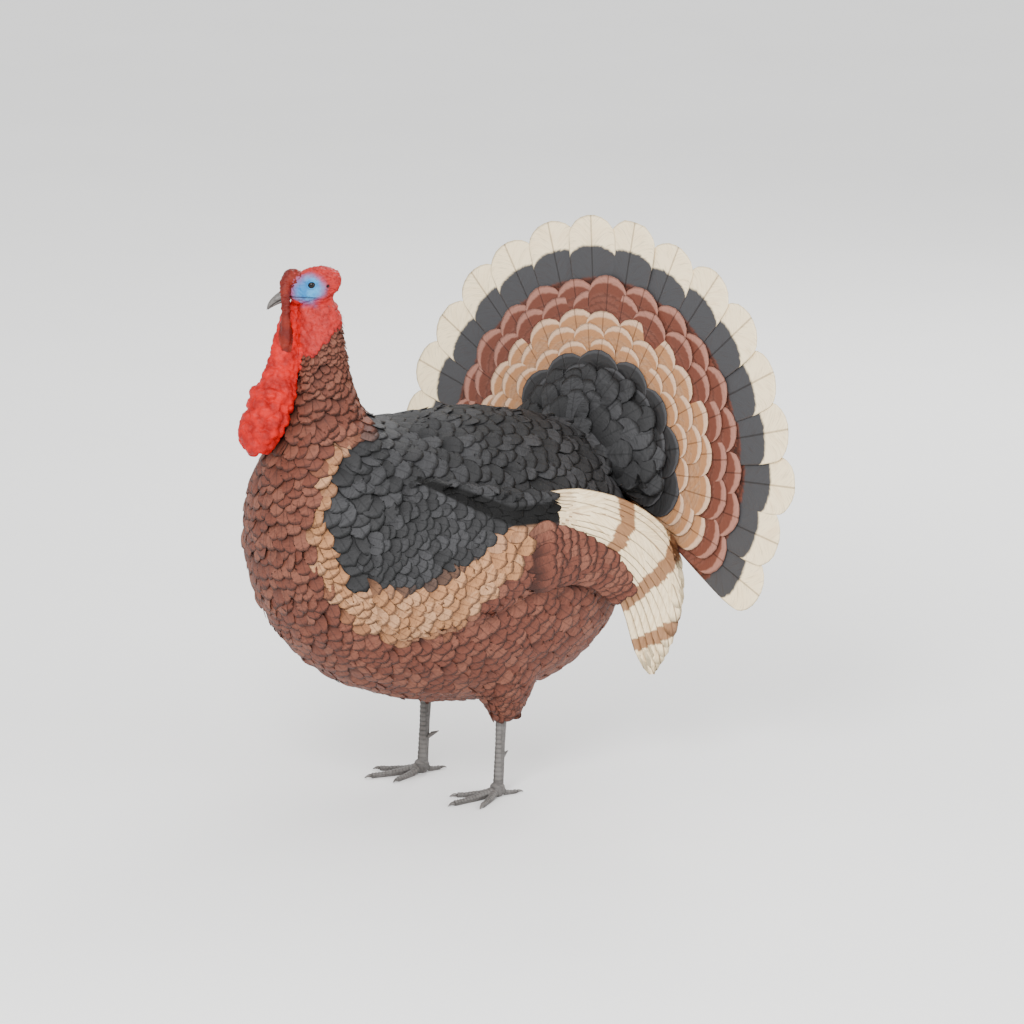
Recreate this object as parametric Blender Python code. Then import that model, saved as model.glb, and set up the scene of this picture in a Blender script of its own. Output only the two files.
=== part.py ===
"""A male wild turkey in display, life size and standing still.

The bird stands on the floor at z = 0 and faces -Y, with its left side on +X. Metres, +Z up.
The body is one smooth swept form, parted into trunk and neck by a thin cut. The head, the tail
and each foot are modelled in frames of their own, on empties, and everything is seated on its
neighbour with a hair's gap, so that nothing overlaps. The outlines are those of the plumage.
"""

import math

import bmesh
import bpy
from mathutils import Matrix, Vector

# ---- Sizes that drive the model, in metres and degrees ------------------------------------
GAP = 0.0005  # clearance between pieces that lie against each other
FLAT = 0.0010  # depth of the flat ground off the underside of each toe
WELD = 0.000003  # points nearer than this are one point

# Body: at each station the point on the back, the point on the breast or belly, and the half
# width. They run from under the head, down the neck and back through the trunk to the rear.
BODY_STATIONS = (
    # back y, back z, belly y, belly z, half width
    (-0.2260, 0.8250, -0.2800, 0.8150, 0.0250),
    (-0.2120, 0.7780, -0.2820, 0.7650, 0.0310),
    (-0.2020, 0.7200, -0.2920, 0.7020, 0.0400),
    (-0.1920, 0.6720, -0.3120, 0.6360, 0.0560),
    (-0.1720, 0.6350, -0.3400, 0.5640, 0.0880),
    (-0.1300, 0.6160, -0.3600, 0.4650, 0.1480),
    (-0.0700, 0.6160, -0.3420, 0.3400, 0.1880),
    (-0.0050, 0.6180, -0.2700, 0.2380, 0.2060),
    (0.0600, 0.6140, -0.1500, 0.1740, 0.2150),
    (0.1150, 0.6020, -0.0100, 0.1500, 0.2120),
    (0.1700, 0.5840, 0.1150, 0.1640, 0.1900),
    (0.2180, 0.5620, 0.2120, 0.2160, 0.1480),
    (0.2520, 0.5280, 0.2720, 0.3000, 0.0900),
    (0.2680, 0.4700, 0.2860, 0.3760, 0.0350),
)
NECK_CUT = 3.5  # the neck is parted from the trunk here, counted in stations
BODY_STEPS = 2  # rings between one station and the next
BODY_SIDES = 24

# Wing, left side: a path in the side plane with the distance out from the middle of the bird,
# the half breadth across the path and the half thickness, from the wrist to the wing's tip.
WING_STATIONS = (
    # y, z, x, half breadth, half thickness
    (-0.2760, 0.4000, 0.1420, 0.0500, 0.0080),
    (-0.2420, 0.4080, 0.1720, 0.1080, 0.0160),
    (-0.1740, 0.4140, 0.2000, 0.1400, 0.0210),
    (-0.0900, 0.4260, 0.2180, 0.1260, 0.0220),
    (-0.0040, 0.4420, 0.2250, 0.0860, 0.0200),
    (0.0860, 0.4420, 0.2230, 0.0680, 0.0160),
    (0.1760, 0.4080, 0.2100, 0.0650, 0.0120),
    (0.2430, 0.3420, 0.1950, 0.0640, 0.0090),
    (0.2800, 0.2560, 0.1800, 0.0560, 0.0065),
    (0.2940, 0.1900, 0.1720, 0.0360, 0.0045),
)
WING_TIP = (0.1690, 0.3000, 0.1620)
WING_CUT = 5.0  # the folded flight feathers start here, counted in stations
WING_WRAP = 0.200  # radius to which the wing is bent round the body
WING_STEPS = 2
WING_ACROSS = 6  # facets from the wing's upper edge to its lower edge

# Tail: the rows of feathers fan out from one root, in planes that stand one behind another.
TAIL_ROOT = (0.0, 0.2620, 0.5000)
TAIL_YAW = 20.0  # the fan is turned towards the bird's left
TAIL_LEAN = 8.0  # and its top leans back
TAIL_OPENING = 118.0  # from upright to the outermost feather, each way
TAIL_RADIUS = 0.395
TAIL_FEATHERS = 18
TAIL_DISH = 0.022  # how far the tips stand in front of the root's plane
# How far each row's two faces stand ahead of the root's plane.
FAN_PLATE = (0.0020, -0.0020)
LONG_COVERTS_PLATE = (0.0075, 0.0030)
SHORT_COVERTS_PLATE = (0.0135, 0.0085)
RUMP_PLATE = (0.0220, 0.0145)
UNDERTAIL_PLATE = (-0.0030, -0.0100)
LONG_COVERTS_RADIUS = 0.300
LONG_COVERTS_OPENING = 115.0
LONG_COVERTS = 15
SHORT_COVERTS_RADIUS = 0.248
SHORT_COVERTS_OPENING = 112.0
SHORT_COVERTS = 13
RUMP_RADIUS = 0.168
RUMP_OPENING = 100.0
RUMP_LOBES = 7
RUMP_RISE = 0.062  # how far the rump's feathers swell in front of the fan
UNDERTAIL_RADIUS = 0.150
UNDERTAIL_RISE = 0.050  # and the undertail's behind it
UNDERTAIL_OPENING = 150.0
UNDERTAIL_LOBES = 5
ROW_ROOT = 0.012  # the rows start this far from the root's middle
LOBE_DEPTH = 0.045  # how deep the edge dips between two feathers, in shares of the radius

# Head, in its own frame: forward is -Y, up is +Z and left is +X.
HEAD_PLACE = (-0.0040, -0.2550, 0.8440)
HEAD_SIZE = 1.08  # a large male's head, in measure of the table below
HEAD_YAW = -18.0  # turned a little to the bird's right
HEAD_PITCH = 12.0  # bill down
HEAD_STATIONS = (
    # forward, middle height, half height, half width
    (-0.0400, 0.0010, 0.0060, 0.0060),
    (-0.0350, 0.0005, 0.0140, 0.0130),
    (-0.0230, 0.0000, 0.0225, 0.0190),
    (-0.0080, -0.0005, 0.0265, 0.0220),
    (0.0060, -0.0010, 0.0262, 0.0218),
    (0.0190, -0.0015, 0.0222, 0.0185),
    (0.0300, -0.0020, 0.0165, 0.0140),
    (0.0370, -0.0028, 0.0110, 0.0105),
)
BILL_STATIONS = (
    # forward, height of the gape line, rise above it, depth below it, half width
    (0.0310, -0.0050, 0.0135, 0.0080, 0.0102),
    (0.0430, -0.0065, 0.0125, 0.0068, 0.0090),
    (0.0550, -0.0090, 0.0105, 0.0052, 0.0068),
    (0.0650, -0.0125, 0.0082, 0.0036, 0.0044),
    (0.0715, -0.0165, 0.0056, 0.0018, 0.0024),
)
BILL_TIP = (0.0, -0.0755, -0.0215)
LOWER_BILL_TIP = (0.0, -0.0725, -0.0185)
EYE_PLACE = (0.0172, -0.0050, 0.0055)
EYE_RADIUS = 0.0062

# Snood: from the forehead it goes over the bill's left side and then hangs straight down.
SNOOD_START = ((0.0, -0.0200, 0.0175), (0.0020, -0.0330, 0.0205), (0.0085, -0.0420, 0.0150))
SNOOD_SIDE = (0.0170, -0.0455, -0.0030)
SNOOD_HANG = 0.078
SNOOD_RADII = (0.0100, 0.0112, 0.0085, 0.0070, 0.0066, 0.0068, 0.0078, 0.0088, 0.0058)

# Wattle: down the throat and the front of the neck, with a free end on the breast.
WATTLE_STATIONS = (
    # x, y, z, half width, half depth
    (-0.0180, -0.2760, 0.8140, 0.0090, 0.0150),
    (-0.0170, -0.2860, 0.7860, 0.0120, 0.0230),
    (-0.0130, -0.2960, 0.7500, 0.0155, 0.0260),
    (-0.0070, -0.3110, 0.7080, 0.0210, 0.0280),
    (-0.0020, -0.3320, 0.6660, 0.0290, 0.0310),
    (0.0, -0.3520, 0.6280, 0.0330, 0.0310),
    (0.0, -0.3640, 0.5980, 0.0230, 0.0220),
)

# Legs: each foot's place on the floor, with the left one a little behind the right one.
FOOT_PLACES = {"left": (0.0880, 0.0200), "right": (-0.0880, -0.0200)}
FOOT_TOE_OUT = 6.0
SHANK_STATIONS = (
    # height, backward shift, half width, half depth
    (0.0160, 0.0020, 0.0085, 0.0095),
    (0.0300, 0.0030, 0.0075, 0.0090),
    (0.0850, 0.0060, 0.0068, 0.0086),
    (0.1300, 0.0085, 0.0078, 0.0098),
    (0.1560, 0.0105, 0.0105, 0.0130),
    (0.1720, 0.0115, 0.0110, 0.0135),
)
THIGH_STATIONS = (
    # height, outward shift, backward shift, half width, half depth
    (0.2900, 0.0180, -0.0050, 0.0620, 0.0760),
    (0.2200, 0.0150, 0.0000, 0.0560, 0.0680),
    (0.1700, 0.0080, 0.0060, 0.0360, 0.0450),
    (0.1400, 0.0020, 0.0090, 0.0210, 0.0260),
    (0.1270, 0.0000, 0.0090, 0.0130, 0.0160),
)
SPUR_HEIGHT = 0.062
SPUR_LENGTH = 0.020
SPUR_RADIUS = 0.0050
SPUR_BASE = (0.0030, 0.0090)  # inward and back from the shank's middle line
SPUR_WAY = (0.25, 0.85, 0.35)  # it points back, a little inward and up
SPUR_TAPER = (1.15, 0.85, 0.55, 0.18)

# Toes: direction from straight ahead (outward is plus), length, radius at root and at tip.
TOES = {
    "inner": (-30.0, 0.0640, 0.0062, 0.0042),
    "middle": (2.0, 0.0860, 0.0070, 0.0044),
    "outer": (34.0, 0.0680, 0.0062, 0.0042),
    "hind": (172.0, 0.0340, 0.0048, 0.0036),
}
TOE_ROOT_HEIGHT = 0.0130
HIND_TOE_ROOT_HEIGHT = 0.0260
CLAW_LENGTH = 0.0130
PALM_RADIUS = 0.0125

# ---- Colours and finishes ------------------------------------------------------------------
FINISHES = {
    # name: colour, roughness
    "feather_brown": ("855C52", 0.75),
    "feather_slate": ("4D4D4D", 0.65),
    "feather_tan": ("B99276", 0.75),
    "feather_cream": ("FAEACC", 0.80),
    "bare_skin": ("E8605E", 0.50),
    "wattle_red": ("FF251B", 0.45),
    "snood_red": ("A12812", 0.50),
    "horn_grey": ("858280", 0.40),
    "leg_grey": ("858585", 0.60),
    "eye_black": ("0A0808", 0.10),
}

DOWN = Vector((0, 0, -1))


# ---- Tools ---------------------------------------------------------------------------------
def linear(hex_colour):
    """A hex colour as the linear values that a material takes."""
    values = [int(hex_colour[i : i + 2], 16) / 255 for i in (0, 2, 4)]
    return [v / 12.92 if v <= 0.04045 else ((v + 0.055) / 1.055) ** 2.4 for v in values]


def finish(name):
    """The material of a finish, made the first time it is asked for."""
    material = bpy.data.materials.get(name)
    if material is None:
        colour, roughness = FINISHES[name]
        material = bpy.data.materials.new(name)
        material.use_nodes = True
        shader = material.node_tree.nodes["Principled BSDF"]
        shader.inputs["Base Color"].default_value = (*linear(colour), 1.0)
        shader.inputs["Roughness"].default_value = roughness
        shader.inputs["Metallic"].default_value = 0.0
        material.diffuse_color = (*linear(colour), 1.0)
    return material


def clear_scene():
    for old in list(bpy.data.objects):
        bpy.data.objects.remove(old, do_unlink=True)


def blend(stations, at):
    """The smooth in-between of a table's rows at a place counted in rows."""
    last = len(stations) - 1
    row = min(int(at), last - 1)
    t = at - row
    a, b, c, d = (stations[min(max(row + k, 0), last)] for k in (-1, 0, 1, 2))
    return [
        0.5
        * (
            2 * q
            + (r - p) * t
            + (2 * p - 5 * q + 4 * r - s) * t**2
            + (3 * q - p - 3 * r + s) * t**3
        )
        for p, q, r, s in zip(a, b, c, d)
    ]


def spread(first, last, steps):
    """Evenly spaced places from first to last, both included."""
    return [first + (last - first) * i / steps for i in range(steps + 1)]


def oval(middle, across, along, sides):
    """A ring of points round a middle, with its two half axes as vectors."""
    turns = [2 * math.pi * i / sides for i in range(sides)]
    return [middle + across * math.cos(a) + along * math.sin(a) for a in turns]


def make(name, mesh_builder, material, parent=None):
    """An object in the bird's collection from a bmesh whose faces are turned outwards."""
    bmesh.ops.recalc_face_normals(mesh_builder, faces=mesh_builder.faces)
    bmesh.ops.triangulate(mesh_builder, faces=mesh_builder.faces)
    mesh = bpy.data.meshes.new(name)
    mesh_builder.to_mesh(mesh)
    mesh_builder.free()
    mesh.materials.append(finish(material))
    piece = bpy.data.objects.new(name, mesh)
    BIRD.objects.link(piece)
    piece.parent = parent or WHOLE
    return piece


def loft(name, rings, material, parent=None, start=None, end=None):
    """A closed solid through rings of equal count; its ends are flat, or drawn to a point."""
    build = bmesh.new()
    rows = [[build.verts.new(point) for point in ring] for ring in rings]
    count = len(rows[0])
    for low, high in zip(rows, rows[1:]):
        for i in range(count):
            j = (i + 1) % count
            build.faces.new((low[i], low[j], high[j], high[i]))
    for row, point in ((rows[0], start), (rows[-1], end)):
        if point is None:
            build.faces.new(row)
            continue
        tip = build.verts.new(point)
        for i in range(count):
            build.faces.new((row[i], row[(i + 1) % count], tip))
    return make(name, build, material, parent)


def tube(name, points, radii, sides, material, parent=None, squash=1.0):
    """A round limb along a path, with its own radius at each point and closed, rounded ends."""
    rings = []
    for i, point in enumerate(points):
        before = points[max(i - 1, 0)]
        after = points[min(i + 1, len(points) - 1)]
        way = (after - before).normalized()
        across = Vector((1, 0, 0)) if abs(way.x) < 0.9 else Vector((0, 1, 0))
        across = (across - way * across.dot(way)).normalized()
        up = way.cross(across)
        rings.append(oval(point, across * radii[i], up * radii[i] * squash, sides))
    start = points[0] + (points[0] - points[1]).normalized() * radii[0] * 0.5
    end = points[-1] + (points[-1] - points[-2]).normalized() * radii[-1] * 0.5
    return loft(name, rings, material, parent, start, end)


def ball(name, middle, half_axes, segments, rings, material, parent=None):
    """An ellipsoid from the sphere primitive."""
    build = bmesh.new()
    bmesh.ops.create_uvsphere(build, u_segments=segments, v_segments=rings, radius=1.0)
    shape = Matrix.Translation(middle) @ Matrix.Diagonal((*half_axes, 1.0))
    bmesh.ops.transform(build, matrix=shape, verts=build.verts)
    return make(name, build, material, parent)


def evaluated(piece):
    """The piece's mesh as its modifiers leave it."""
    bpy.context.view_layer.update()
    seen = piece.evaluated_get(bpy.context.evaluated_depsgraph_get())
    return bpy.data.meshes.new_from_object(seen)


def keep_largest(mesh):
    """Drop the offcuts of a Boolean, which leaves the body of the piece."""
    build = bmesh.new()
    build.from_mesh(mesh)
    bmesh.ops.remove_doubles(build, verts=build.verts, dist=WELD)
    bmesh.ops.dissolve_degenerate(build, edges=build.edges, dist=WELD)
    bmesh.ops.triangulate(build, faces=build.faces)
    waiting = set(build.verts)
    islands = []
    while waiting:
        island = set()
        reach = [waiting.pop()]
        while reach:
            vert = reach.pop()
            island.add(vert)
            near = {edge.other_vert(vert) for edge in vert.link_edges} & waiting
            waiting -= near
            reach.extend(near)
        islands.append(island)
    islands.sort(key=len)
    loose = [vert for island in islands[:-1] for vert in island]
    bmesh.ops.delete(build, geom=loose, context="VERTS")
    build.to_mesh(mesh)
    build.free()


def cut(piece, cutter, operation="DIFFERENCE"):
    """Boolean one object with another and drop the cutter."""
    boolean = piece.modifiers.new("cut", "BOOLEAN")
    boolean.operation = operation
    boolean.solver = "EXACT"
    boolean.object = cutter
    mesh = evaluated(piece)
    piece.modifiers.clear()
    keep_largest(mesh)
    piece.data = mesh
    bpy.data.objects.remove(cutter, do_unlink=True)


def swollen(neighbour, by):
    """A cutter: the neighbour's shape with its skin moved out by a hair."""
    mesh = evaluated(neighbour)
    build = bmesh.new()
    build.from_mesh(mesh)
    for vert in build.verts:
        vert.co += vert.normal * by
    build.to_mesh(mesh)
    build.free()
    cutter = bpy.data.objects.new("cutter", mesh)
    cutter.matrix_world = neighbour.matrix_world
    cutter.hide_render = True
    cutter.display_type = "WIRE"
    CUTTERS.objects.link(cutter)
    return cutter


def seat(piece, *neighbours, gap=GAP):
    """Cut the piece back so that it lies against its neighbours with a hair's gap."""
    bpy.context.view_layer.update()
    for neighbour in neighbours:
        cut(piece, swollen(neighbour, gap))


def frame(name, place, yaw=0.0, pitch=0.0, size=1.0):
    """An empty that carries the pieces of the head, the tail or a foot."""
    empty = bpy.data.objects.new(name, None)
    empty.location = place
    empty.scale = (size, size, size)
    empty.rotation_euler = (math.radians(pitch), 0.0, math.radians(yaw))
    empty.parent = WHOLE
    BIRD.objects.link(empty)
    return empty


# ---- Body ----------------------------------------------------------------------------------
def body_ring(at):
    back_y, back_z, belly_y, belly_z, half_width = blend(BODY_STATIONS, at)
    back = Vector((0, back_y, back_z))
    belly = Vector((0, belly_y, belly_z))
    across = Vector((half_width, 0, 0))
    return oval((back + belly) / 2, across, (back - belly) / 2, BODY_SIDES)


def body_piece(name, first, last, end=None):
    """A stretch of the swept body, from one place along it to another."""
    steps = round((last - first) * BODY_STEPS)
    rings = [body_ring(at) for at in spread(first, last, steps)]
    return loft(name, rings, "feather_brown", end=end)


def build_body():
    last = len(BODY_STATIONS) - 1
    _, back_z, belly_y, belly_z, _ = BODY_STATIONS[-1]
    rear = Vector((0, belly_y + 0.006, (back_z + belly_z) / 2))
    trunk = body_piece("trunk", NECK_CUT, last, end=rear)
    neck = body_piece("neck", 0, NECK_CUT)
    seat(neck, trunk)
    return trunk, neck


# ---- Wings ---------------------------------------------------------------------------------
def wing_ring(at, side):
    """One lens-shaped section of the wing, bent round the body."""
    y, z, x, breadth, thickness = blend(WING_STATIONS, at)
    ahead = blend(WING_STATIONS, at + 0.05)
    behind = blend(WING_STATIONS, at - 0.05)
    way = Vector((0, ahead[0] - behind[0], ahead[1] - behind[1])).normalized()
    across = Vector((0, -way.z, way.y))
    outer, inner = [], []
    for share in spread(-1, 1, WING_ACROSS):
        wrap = (breadth * share) ** 2 / (2 * WING_WRAP)
        bulge = thickness * math.sqrt(max(0.0, 1 - share**2)) + 0.001
        middle = Vector((x - wrap, y, z)) + across * breadth * share
        outer.append(middle + Vector((bulge, 0, 0)))
        inner.append(middle - Vector((bulge, 0, 0)))
    ring = outer + inner[::-1]
    return [Vector((p.x * side, p.y, p.z)) for p in ring]


def wing_piece(name, first, last, side, material, end=None):
    steps = round((last - first) * WING_STEPS)
    rings = [wing_ring(at, side) for at in spread(first, last, steps)]
    return loft(name, rings, material, end=end)


def build_wings(trunk):
    wings = []
    for side_name, side in (("left", 1), ("right", -1)):
        last = len(WING_STATIONS) - 1
        tip = Vector((side * WING_TIP[0], WING_TIP[1], WING_TIP[2]))
        wing = wing_piece(f"wing_{side_name}", 0, WING_CUT, side, "feather_slate")
        flight = wing_piece(
            f"primaries_{side_name}", WING_CUT, last, side, "feather_cream", tip
        )
        seat(wing, trunk)
        seat(flight, trunk, wing)
        wings += [wing, flight]
    return wings


# ---- Tail ----------------------------------------------------------------------------------
def fan_rings(radius, feathers, front, back, opening, bands):
    """Sections of a row of feathers spread in a fan, a thin plate with one lobe per feather.

    front and back give how far the two faces stand ahead of the root's plane at a radius.
    """
    per_feather = 3
    rings = []
    for step in range(feathers * per_feather + 1):
        lobe = 1.0 if step % per_feather else 1 - LOBE_DEPTH
        turn = math.radians(opening) * (2 * step / (feathers * per_feather) - 1)
        way = Vector((math.sin(turn), 0, math.cos(turn)))
        faces = []
        for face in (front, back):
            points = []
            for r in spread(ROW_ROOT, radius * lobe, bands):
                dish = TAIL_DISH * r / TAIL_RADIUS
                points.append(way * r + Vector((0, -dish - face(r), 0)))
            faces.append(points)
        rings.append(faces[0] + faces[1][::-1])
    return rings


def build_tail(trunk, wings):
    tail = frame("tail_frame", TAIL_ROOT, yaw=TAIL_YAW, pitch=-TAIL_LEAN)

    def row(name, radius, feathers, front, back, material, opening, bands=1):
        rings = fan_rings(radius, feathers, front, back, opening, bands)
        piece = loft(name, rings, material, tail)
        seat(piece, trunk, *wings)

    def bulge(r, radius):
        return math.cos(math.pi / 2 * min(1, r / radius))

    def plate(depth):
        return lambda r: depth

    rump_front, rump_back = RUMP_PLATE
    under_front, under_back = UNDERTAIL_PLATE
    fan_front, fan_back = FAN_PLATE
    long_front, long_back = LONG_COVERTS_PLATE
    short_front, short_back = SHORT_COVERTS_PLATE
    row(
        "tail_fan", TAIL_RADIUS, TAIL_FEATHERS, plate(fan_front), plate(fan_back),
        "feather_cream", TAIL_OPENING,
    )
    row(
        "tail_coverts_long", LONG_COVERTS_RADIUS, LONG_COVERTS, plate(long_front),
        plate(long_back), "feather_brown", LONG_COVERTS_OPENING,
    )
    row(
        "tail_coverts_short", SHORT_COVERTS_RADIUS, SHORT_COVERTS, plate(short_front),
        plate(short_back), "feather_tan", SHORT_COVERTS_OPENING,
    )
    row(
        "rump", RUMP_RADIUS, RUMP_LOBES,
        lambda r: rump_front + RUMP_RISE * bulge(r, RUMP_RADIUS), plate(rump_back),
        "feather_slate", RUMP_OPENING, bands=3,
    )
    row(
        "undertail", UNDERTAIL_RADIUS, UNDERTAIL_LOBES, plate(under_front),
        lambda r: under_back - UNDERTAIL_RISE * bulge(r, UNDERTAIL_RADIUS),
        "feather_brown", UNDERTAIL_OPENING, bands=3,
    )


# ---- Head ----------------------------------------------------------------------------------
def head_ring(at):
    forward, middle, half_height, half_width = blend(HEAD_STATIONS, at)
    across = Vector((half_width, 0, 0))
    return oval(Vector((0, -forward, middle)), across, Vector((0, 0, half_height)), 14)


def bill_half(name, upper, tip, head):
    """The upper or lower half of the bill: arched on one side, flat along the gape line."""
    rings = []
    for at in spread(0, len(BILL_STATIONS) - 1, 6):
        forward, gape, rise, depth, half_width = blend(BILL_STATIONS, at)
        height = rise if upper else -depth
        base = gape + (0.0002 if upper else -0.0002)
        ring = []
        for angle in spread(0, math.pi, 6):
            x = half_width * math.cos(angle) * (1.0 if upper else 0.9)
            ring.append(Vector((x, -forward, base + height * math.sin(angle))))
        rings.append(ring)
    return loft(name, rings, "horn_grey", head, end=Vector(tip))


def build_head(neck):
    head_frame = frame("head_frame", HEAD_PLACE, HEAD_YAW, HEAD_PITCH, HEAD_SIZE)
    rings = [head_ring(at) for at in spread(0, len(HEAD_STATIONS) - 1, 9)]
    first, last = HEAD_STATIONS[0], HEAD_STATIONS[-1]
    back = Vector((0, -first[0] + 0.0015, first[1]))
    front = Vector((0, -last[0] - 0.003, last[1]))
    head = loft("head", rings, "bare_skin", head_frame, start=back, end=front)
    seat(neck, head)
    for side_name, side in (("left", 1), ("right", -1)):
        x, y, z = EYE_PLACE
        middle = Vector((x * side, y, z))
        axes = (EYE_RADIUS, EYE_RADIUS, EYE_RADIUS)
        eye = ball(f"eye_{side_name}", middle, axes, 8, 6, "eye_black", head_frame)
        seat(head, eye, gap=0.0003)
    bill_upper = bill_half("bill_upper", True, BILL_TIP, head_frame)
    bill_lower = bill_half("bill_lower", False, LOWER_BILL_TIP, head_frame)
    seat(bill_upper, head)
    seat(bill_lower, head)

    bpy.context.view_layer.update()
    down = (head_frame.matrix_world.inverted().to_3x3() @ DOWN).normalized()
    side_point = Vector(SNOOD_SIDE)
    hanging = [side_point + down * SNOOD_HANG * share for share in spread(0, 1, 5)]
    path = [Vector(p) for p in SNOOD_START] + hanging
    snood = tube("snood", path, SNOOD_RADII, 7, "snood_red", head_frame)
    seat(snood, head, bill_upper, bill_lower)

    rings = []
    for at in spread(0, len(WATTLE_STATIONS) - 1, 9):
        x, y, z, half_width, half_depth = blend(WATTLE_STATIONS, at)
        ahead = Vector(blend(WATTLE_STATIONS, at + 0.05)[:3])
        behind = Vector(blend(WATTLE_STATIONS, at - 0.05)[:3])
        way = (ahead - behind).normalized()
        across = Vector((1, 0, 0))
        along = way.cross(across).normalized()
        rings.append(oval(Vector((x, y, z)), across * half_width, along * half_depth, 10))
    x, y, z, _, _ = WATTLE_STATIONS[-1]
    end = Vector((x, y - 0.002, z - 0.010))
    wattle = loft("wattle", rings, "wattle_red", end=end)
    seat(wattle, head, neck, bill_lower, snood)
    return head_frame


# ---- Legs and feet -------------------------------------------------------------------------
def toe_direction(angle, side):
    turn = math.radians(angle) * side
    return Vector((math.sin(turn), -math.cos(turn), 0))


def toe_path(name, side):
    """The middle line and radii of a toe, which comes down to the floor and runs along it."""
    angle, length, root_radius, tip_radius = TOES[name]
    way = toe_direction(angle, side)
    root = HIND_TOE_ROOT_HEIGHT if name == "hind" else TOE_ROOT_HEIGHT
    points, radii = [], []
    for share in spread(0, 1, 5):
        radius = root_radius + (tip_radius - root_radius) * share
        pads = 1 + 0.07 * math.cos(6 * math.pi * share)
        low = radius * pads - FLAT
        height = low + max(0.0, root - low) * max(0.0, 1 - share / 0.45) ** 1.5
        points.append(way * length * share + Vector((0, 0, height)))
        radii.append(radius * pads)
    return points, radii


def build_foot(side_name, side):
    x, y = FOOT_PLACES[side_name]
    foot_frame = frame(f"foot_frame_{side_name}", (x, y, 0), yaw=FOOT_TOE_OUT * side)
    middle = Vector((0, 0, PALM_RADIUS - FLAT))
    axes = (PALM_RADIUS, PALM_RADIUS * 1.1, PALM_RADIUS)
    foot = ball(f"foot_{side_name}", middle, axes, 10, 6, "leg_grey", foot_frame)
    bpy.context.view_layer.update()
    for name in TOES:
        points, radii = toe_path(name, side)
        cut(foot, tube("toe", points, radii, 6, "leg_grey", foot_frame), "UNION")
    build = bmesh.new()
    build.from_mesh(foot.data)
    everything = build.verts[:] + build.edges[:] + build.faces[:]
    floor_cut = bmesh.ops.bisect_plane(
        build, geom=everything, plane_co=(0, 0, 0), plane_no=(0, 0, -1), clear_outer=True
    )
    rim = [part for part in floor_cut["geom_cut"] if isinstance(part, bmesh.types.BMEdge)]
    bmesh.ops.holes_fill(build, edges=rim)
    bmesh.ops.triangulate(build, faces=build.faces)
    build.to_mesh(foot.data)
    build.free()
    keep_largest(foot.data)

    for name in TOES:
        points, radii = toe_path(name, side)
        way = (points[-1] - points[-2]).normalized()
        radius = radii[-1]
        path = []
        for share in spread(0, 1, 3):
            rise = radius * (0.35 * math.sin(math.pi * share) - 0.45 * share**2)
            path.append(points[-1] + way * CLAW_LENGTH * share + Vector((0, 0, rise)))
        widths = [radius * w for w in (0.72, 0.70, 0.45, 0.16)]
        claw = tube(f"claw_{side_name}_{name}", path, widths, 6, "horn_grey", foot_frame)
        seat(claw, foot)
    return foot_frame, foot


def build_legs(trunk):
    for side_name, side in (("left", 1), ("right", -1)):
        foot_frame, foot = build_foot(side_name, side)
        rings = []
        for height, back, half_width, half_depth in SHANK_STATIONS:
            middle = Vector((0, back, height))
            across = Vector((half_width, 0, 0))
            rings.append(oval(middle, across, Vector((0, half_depth, 0)), 10))
        shank = loft(f"shank_{side_name}", rings, "leg_grey", foot_frame)
        seat(shank, foot)

        inward, back = SPUR_BASE
        base = Vector((-side * inward, back, SPUR_HEIGHT))
        inward, back, up = SPUR_WAY
        way = Vector((-side * inward, back, up)).normalized()
        path = [base + way * SPUR_LENGTH * share for share in spread(0, 1, 3)]
        widths = [SPUR_RADIUS * share for share in SPUR_TAPER]
        spur = tube(f"spur_{side_name}", path, widths, 6, "horn_grey", foot_frame)
        seat(spur, shank)

        rings = []
        for height, out, back, half_width, half_depth in THIGH_STATIONS:
            middle = Vector((out * side, back, height))
            across = Vector((half_width, 0, 0))
            rings.append(oval(middle, across, Vector((0, half_depth, 0)), 12))
        thigh = loft(f"thigh_{side_name}", rings, "feather_brown", foot_frame)
        seat(thigh, trunk)
        seat(shank, thigh)


def centre_on_origin():
    """Move the whole bird so that the middle of its box stands over the origin."""
    bpy.context.view_layer.update()
    pieces = [piece for piece in BIRD.objects if piece.type == "MESH"]
    points = [piece.matrix_world @ vert.co for piece in pieces for vert in piece.data.vertices]
    low = [min(point[axis] for point in points) for axis in range(3)]
    high = [max(point[axis] for point in points) for axis in range(3)]
    WHOLE.location = (-(low[0] + high[0]) / 2, -(low[1] + high[1]) / 2, 0.0)
    bpy.context.view_layer.update()
    print("moved by", tuple(round(value, 5) for value in WHOLE.location))
    print("size", [round(high[axis] - low[axis], 4) for axis in range(3)])


clear_scene()
BIRD = bpy.data.collections.new("wild_turkey")
CUTTERS = bpy.data.collections.new("cutters")
for collection in (BIRD, CUTTERS):
    bpy.context.scene.collection.children.link(collection)
WHOLE = bpy.data.objects.new("whole", None)
BIRD.objects.link(WHOLE)

TRUNK, NECK = build_body()
WINGS = build_wings(TRUNK)
build_tail(TRUNK, WINGS)
build_head(NECK)
build_legs(TRUNK)
centre_on_origin()
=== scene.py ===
# %% [markdown]
# # A wild turkey in display
# The animal is built life size over a plain solid model of itself. The solid gives every part its
# place; this script dresses it: skin with folds and lumps where the bird is bare, and feathers,
# each one a thin closed vane, over everything else. The steps go from the inside outwards.

import math

import bmesh
import bpy
import numpy as np
from mathutils import Euler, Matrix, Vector
from mathutils.bvhtree import BVHTree
from mathutils.kdtree import KDTree


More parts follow.
